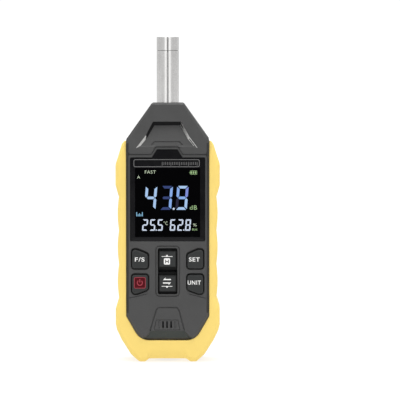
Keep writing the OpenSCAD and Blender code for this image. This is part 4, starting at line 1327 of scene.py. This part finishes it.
def sky():
    """Light from panels at both sides of the camera, a dark gap where it stands and a bright ceiling. The
    camera itself sees plain white."""
    world = bpy.data.worlds.new("studio")
    bpy.context.scene.world = world
    world.use_nodes = True
    tree = world.node_tree
    add, link = tree.nodes.new, tree.links.new
    background = tree.nodes["Background"]
    place = add("ShaderNodeTexCoord")
    split = add("ShaderNodeSeparateXYZ")
    link(place.outputs["Generated"], split.inputs["Vector"])
    math_nodes = {}
    for name, operation in (("side", "ABSOLUTE"), ("ahead", "MULTIPLY"), ("azimuth", "ARCTAN2"),
                            ("share", "DIVIDE")):
        math_nodes[name] = add("ShaderNodeMath")
        math_nodes[name].operation = operation
    link(split.outputs["X"], math_nodes["side"].inputs[0])
    link(split.outputs["Y"], math_nodes["ahead"].inputs[0])
    math_nodes["ahead"].inputs[1].default_value = -1
    link(math_nodes["side"].outputs[0], math_nodes["azimuth"].inputs[0])
    link(math_nodes["ahead"].outputs[0], math_nodes["azimuth"].inputs[1])
    link(math_nodes["azimuth"].outputs[0], math_nodes["share"].inputs[0])
    math_nodes["share"].inputs[1].default_value = math.pi
    ramp = add("ShaderNodeValToRGB")
    link(math_nodes["share"].outputs[0], ramp.inputs["Fac"])
    stops = [(0, 0.05), (3.5, 0.06), (6, 0.3), (9, 0.35), (11.5, 0.76), (25, 0.76), (36, 0.42), (95, 0.34),
             (125, 0.4), (180, 0.4)]
    elements = ramp.color_ramp.elements
    while len(elements) < len(stops):
        elements.new(0.5)
    for element, (degrees, value) in zip(elements, stops):
        element.position = degrees / 180
        element.color = (value, value, value, 1)
    height = add("ShaderNodeMapRange")
    height.interpolation_type = "SMOOTHSTEP"
    height.inputs["From Min"].default_value = math.sin(math.radians(54))
    height.inputs["From Max"].default_value = math.sin(math.radians(66))
    link(split.outputs["Z"], height.inputs["Value"])
    ceiling = add("ShaderNodeMix")
    ceiling.data_type = "RGBA"
    ceiling.inputs["B"].default_value = (2.5, 2.5, 2.5, 1)
    link(height.outputs["Result"], ceiling.inputs["Factor"])
    link(ramp.outputs["Color"], ceiling.inputs["A"])
    glow = add("ShaderNodeBackground")
    glow.inputs["Strength"].default_value = 1.76
    link(ceiling.outputs["Result"], glow.inputs["Color"])
    background.inputs["Color"].default_value = (1, 1, 1, 1)
    background.inputs["Strength"].default_value = 1.05
    path = add("ShaderNodeLightPath")
    mix = add("ShaderNodeMixShader")
    link(path.outputs["Is Camera Ray"], mix.inputs["Fac"])
    link(glow.outputs[0], mix.inputs[1])
    link(background.outputs[0], mix.inputs[2])
    link(mix.outputs[0], tree.nodes["World Output"].inputs["Surface"])


CAMERA_DISTANCE = 1.5
CAMERA_X, CAMERA_Z = 0.0184, 0.18
AIM_Z = 0.0926
VIEW_WIDTH = 0.2267


def camera():
    data = bpy.data.cameras.new("camera")
    data.sensor_width = 36
    data.lens = 36 * CAMERA_DISTANCE / VIEW_WIDTH
    data.clip_end = 20
    holder = bpy.data.objects.new("camera", data)
    holder.location = (CAMERA_X, FACE_Y * MM - CAMERA_DISTANCE, CAMERA_Z)
    dip = math.atan2(CAMERA_Z - AIM_Z, CAMERA_DISTANCE)
    holder.rotation_euler = (math.pi / 2 - dip, 0, 0)
    bpy.context.scene.collection.objects.link(holder)
    bpy.context.scene.camera = holder


camera()
sky()
floor()
bpy.context.scene.view_settings.view_transform = "Standard"

front_cover()
rear_cover()
bumper()
lens()
banner()
readout()
keys()
microphone()
tripod_socket()
label()
finish_nodes()
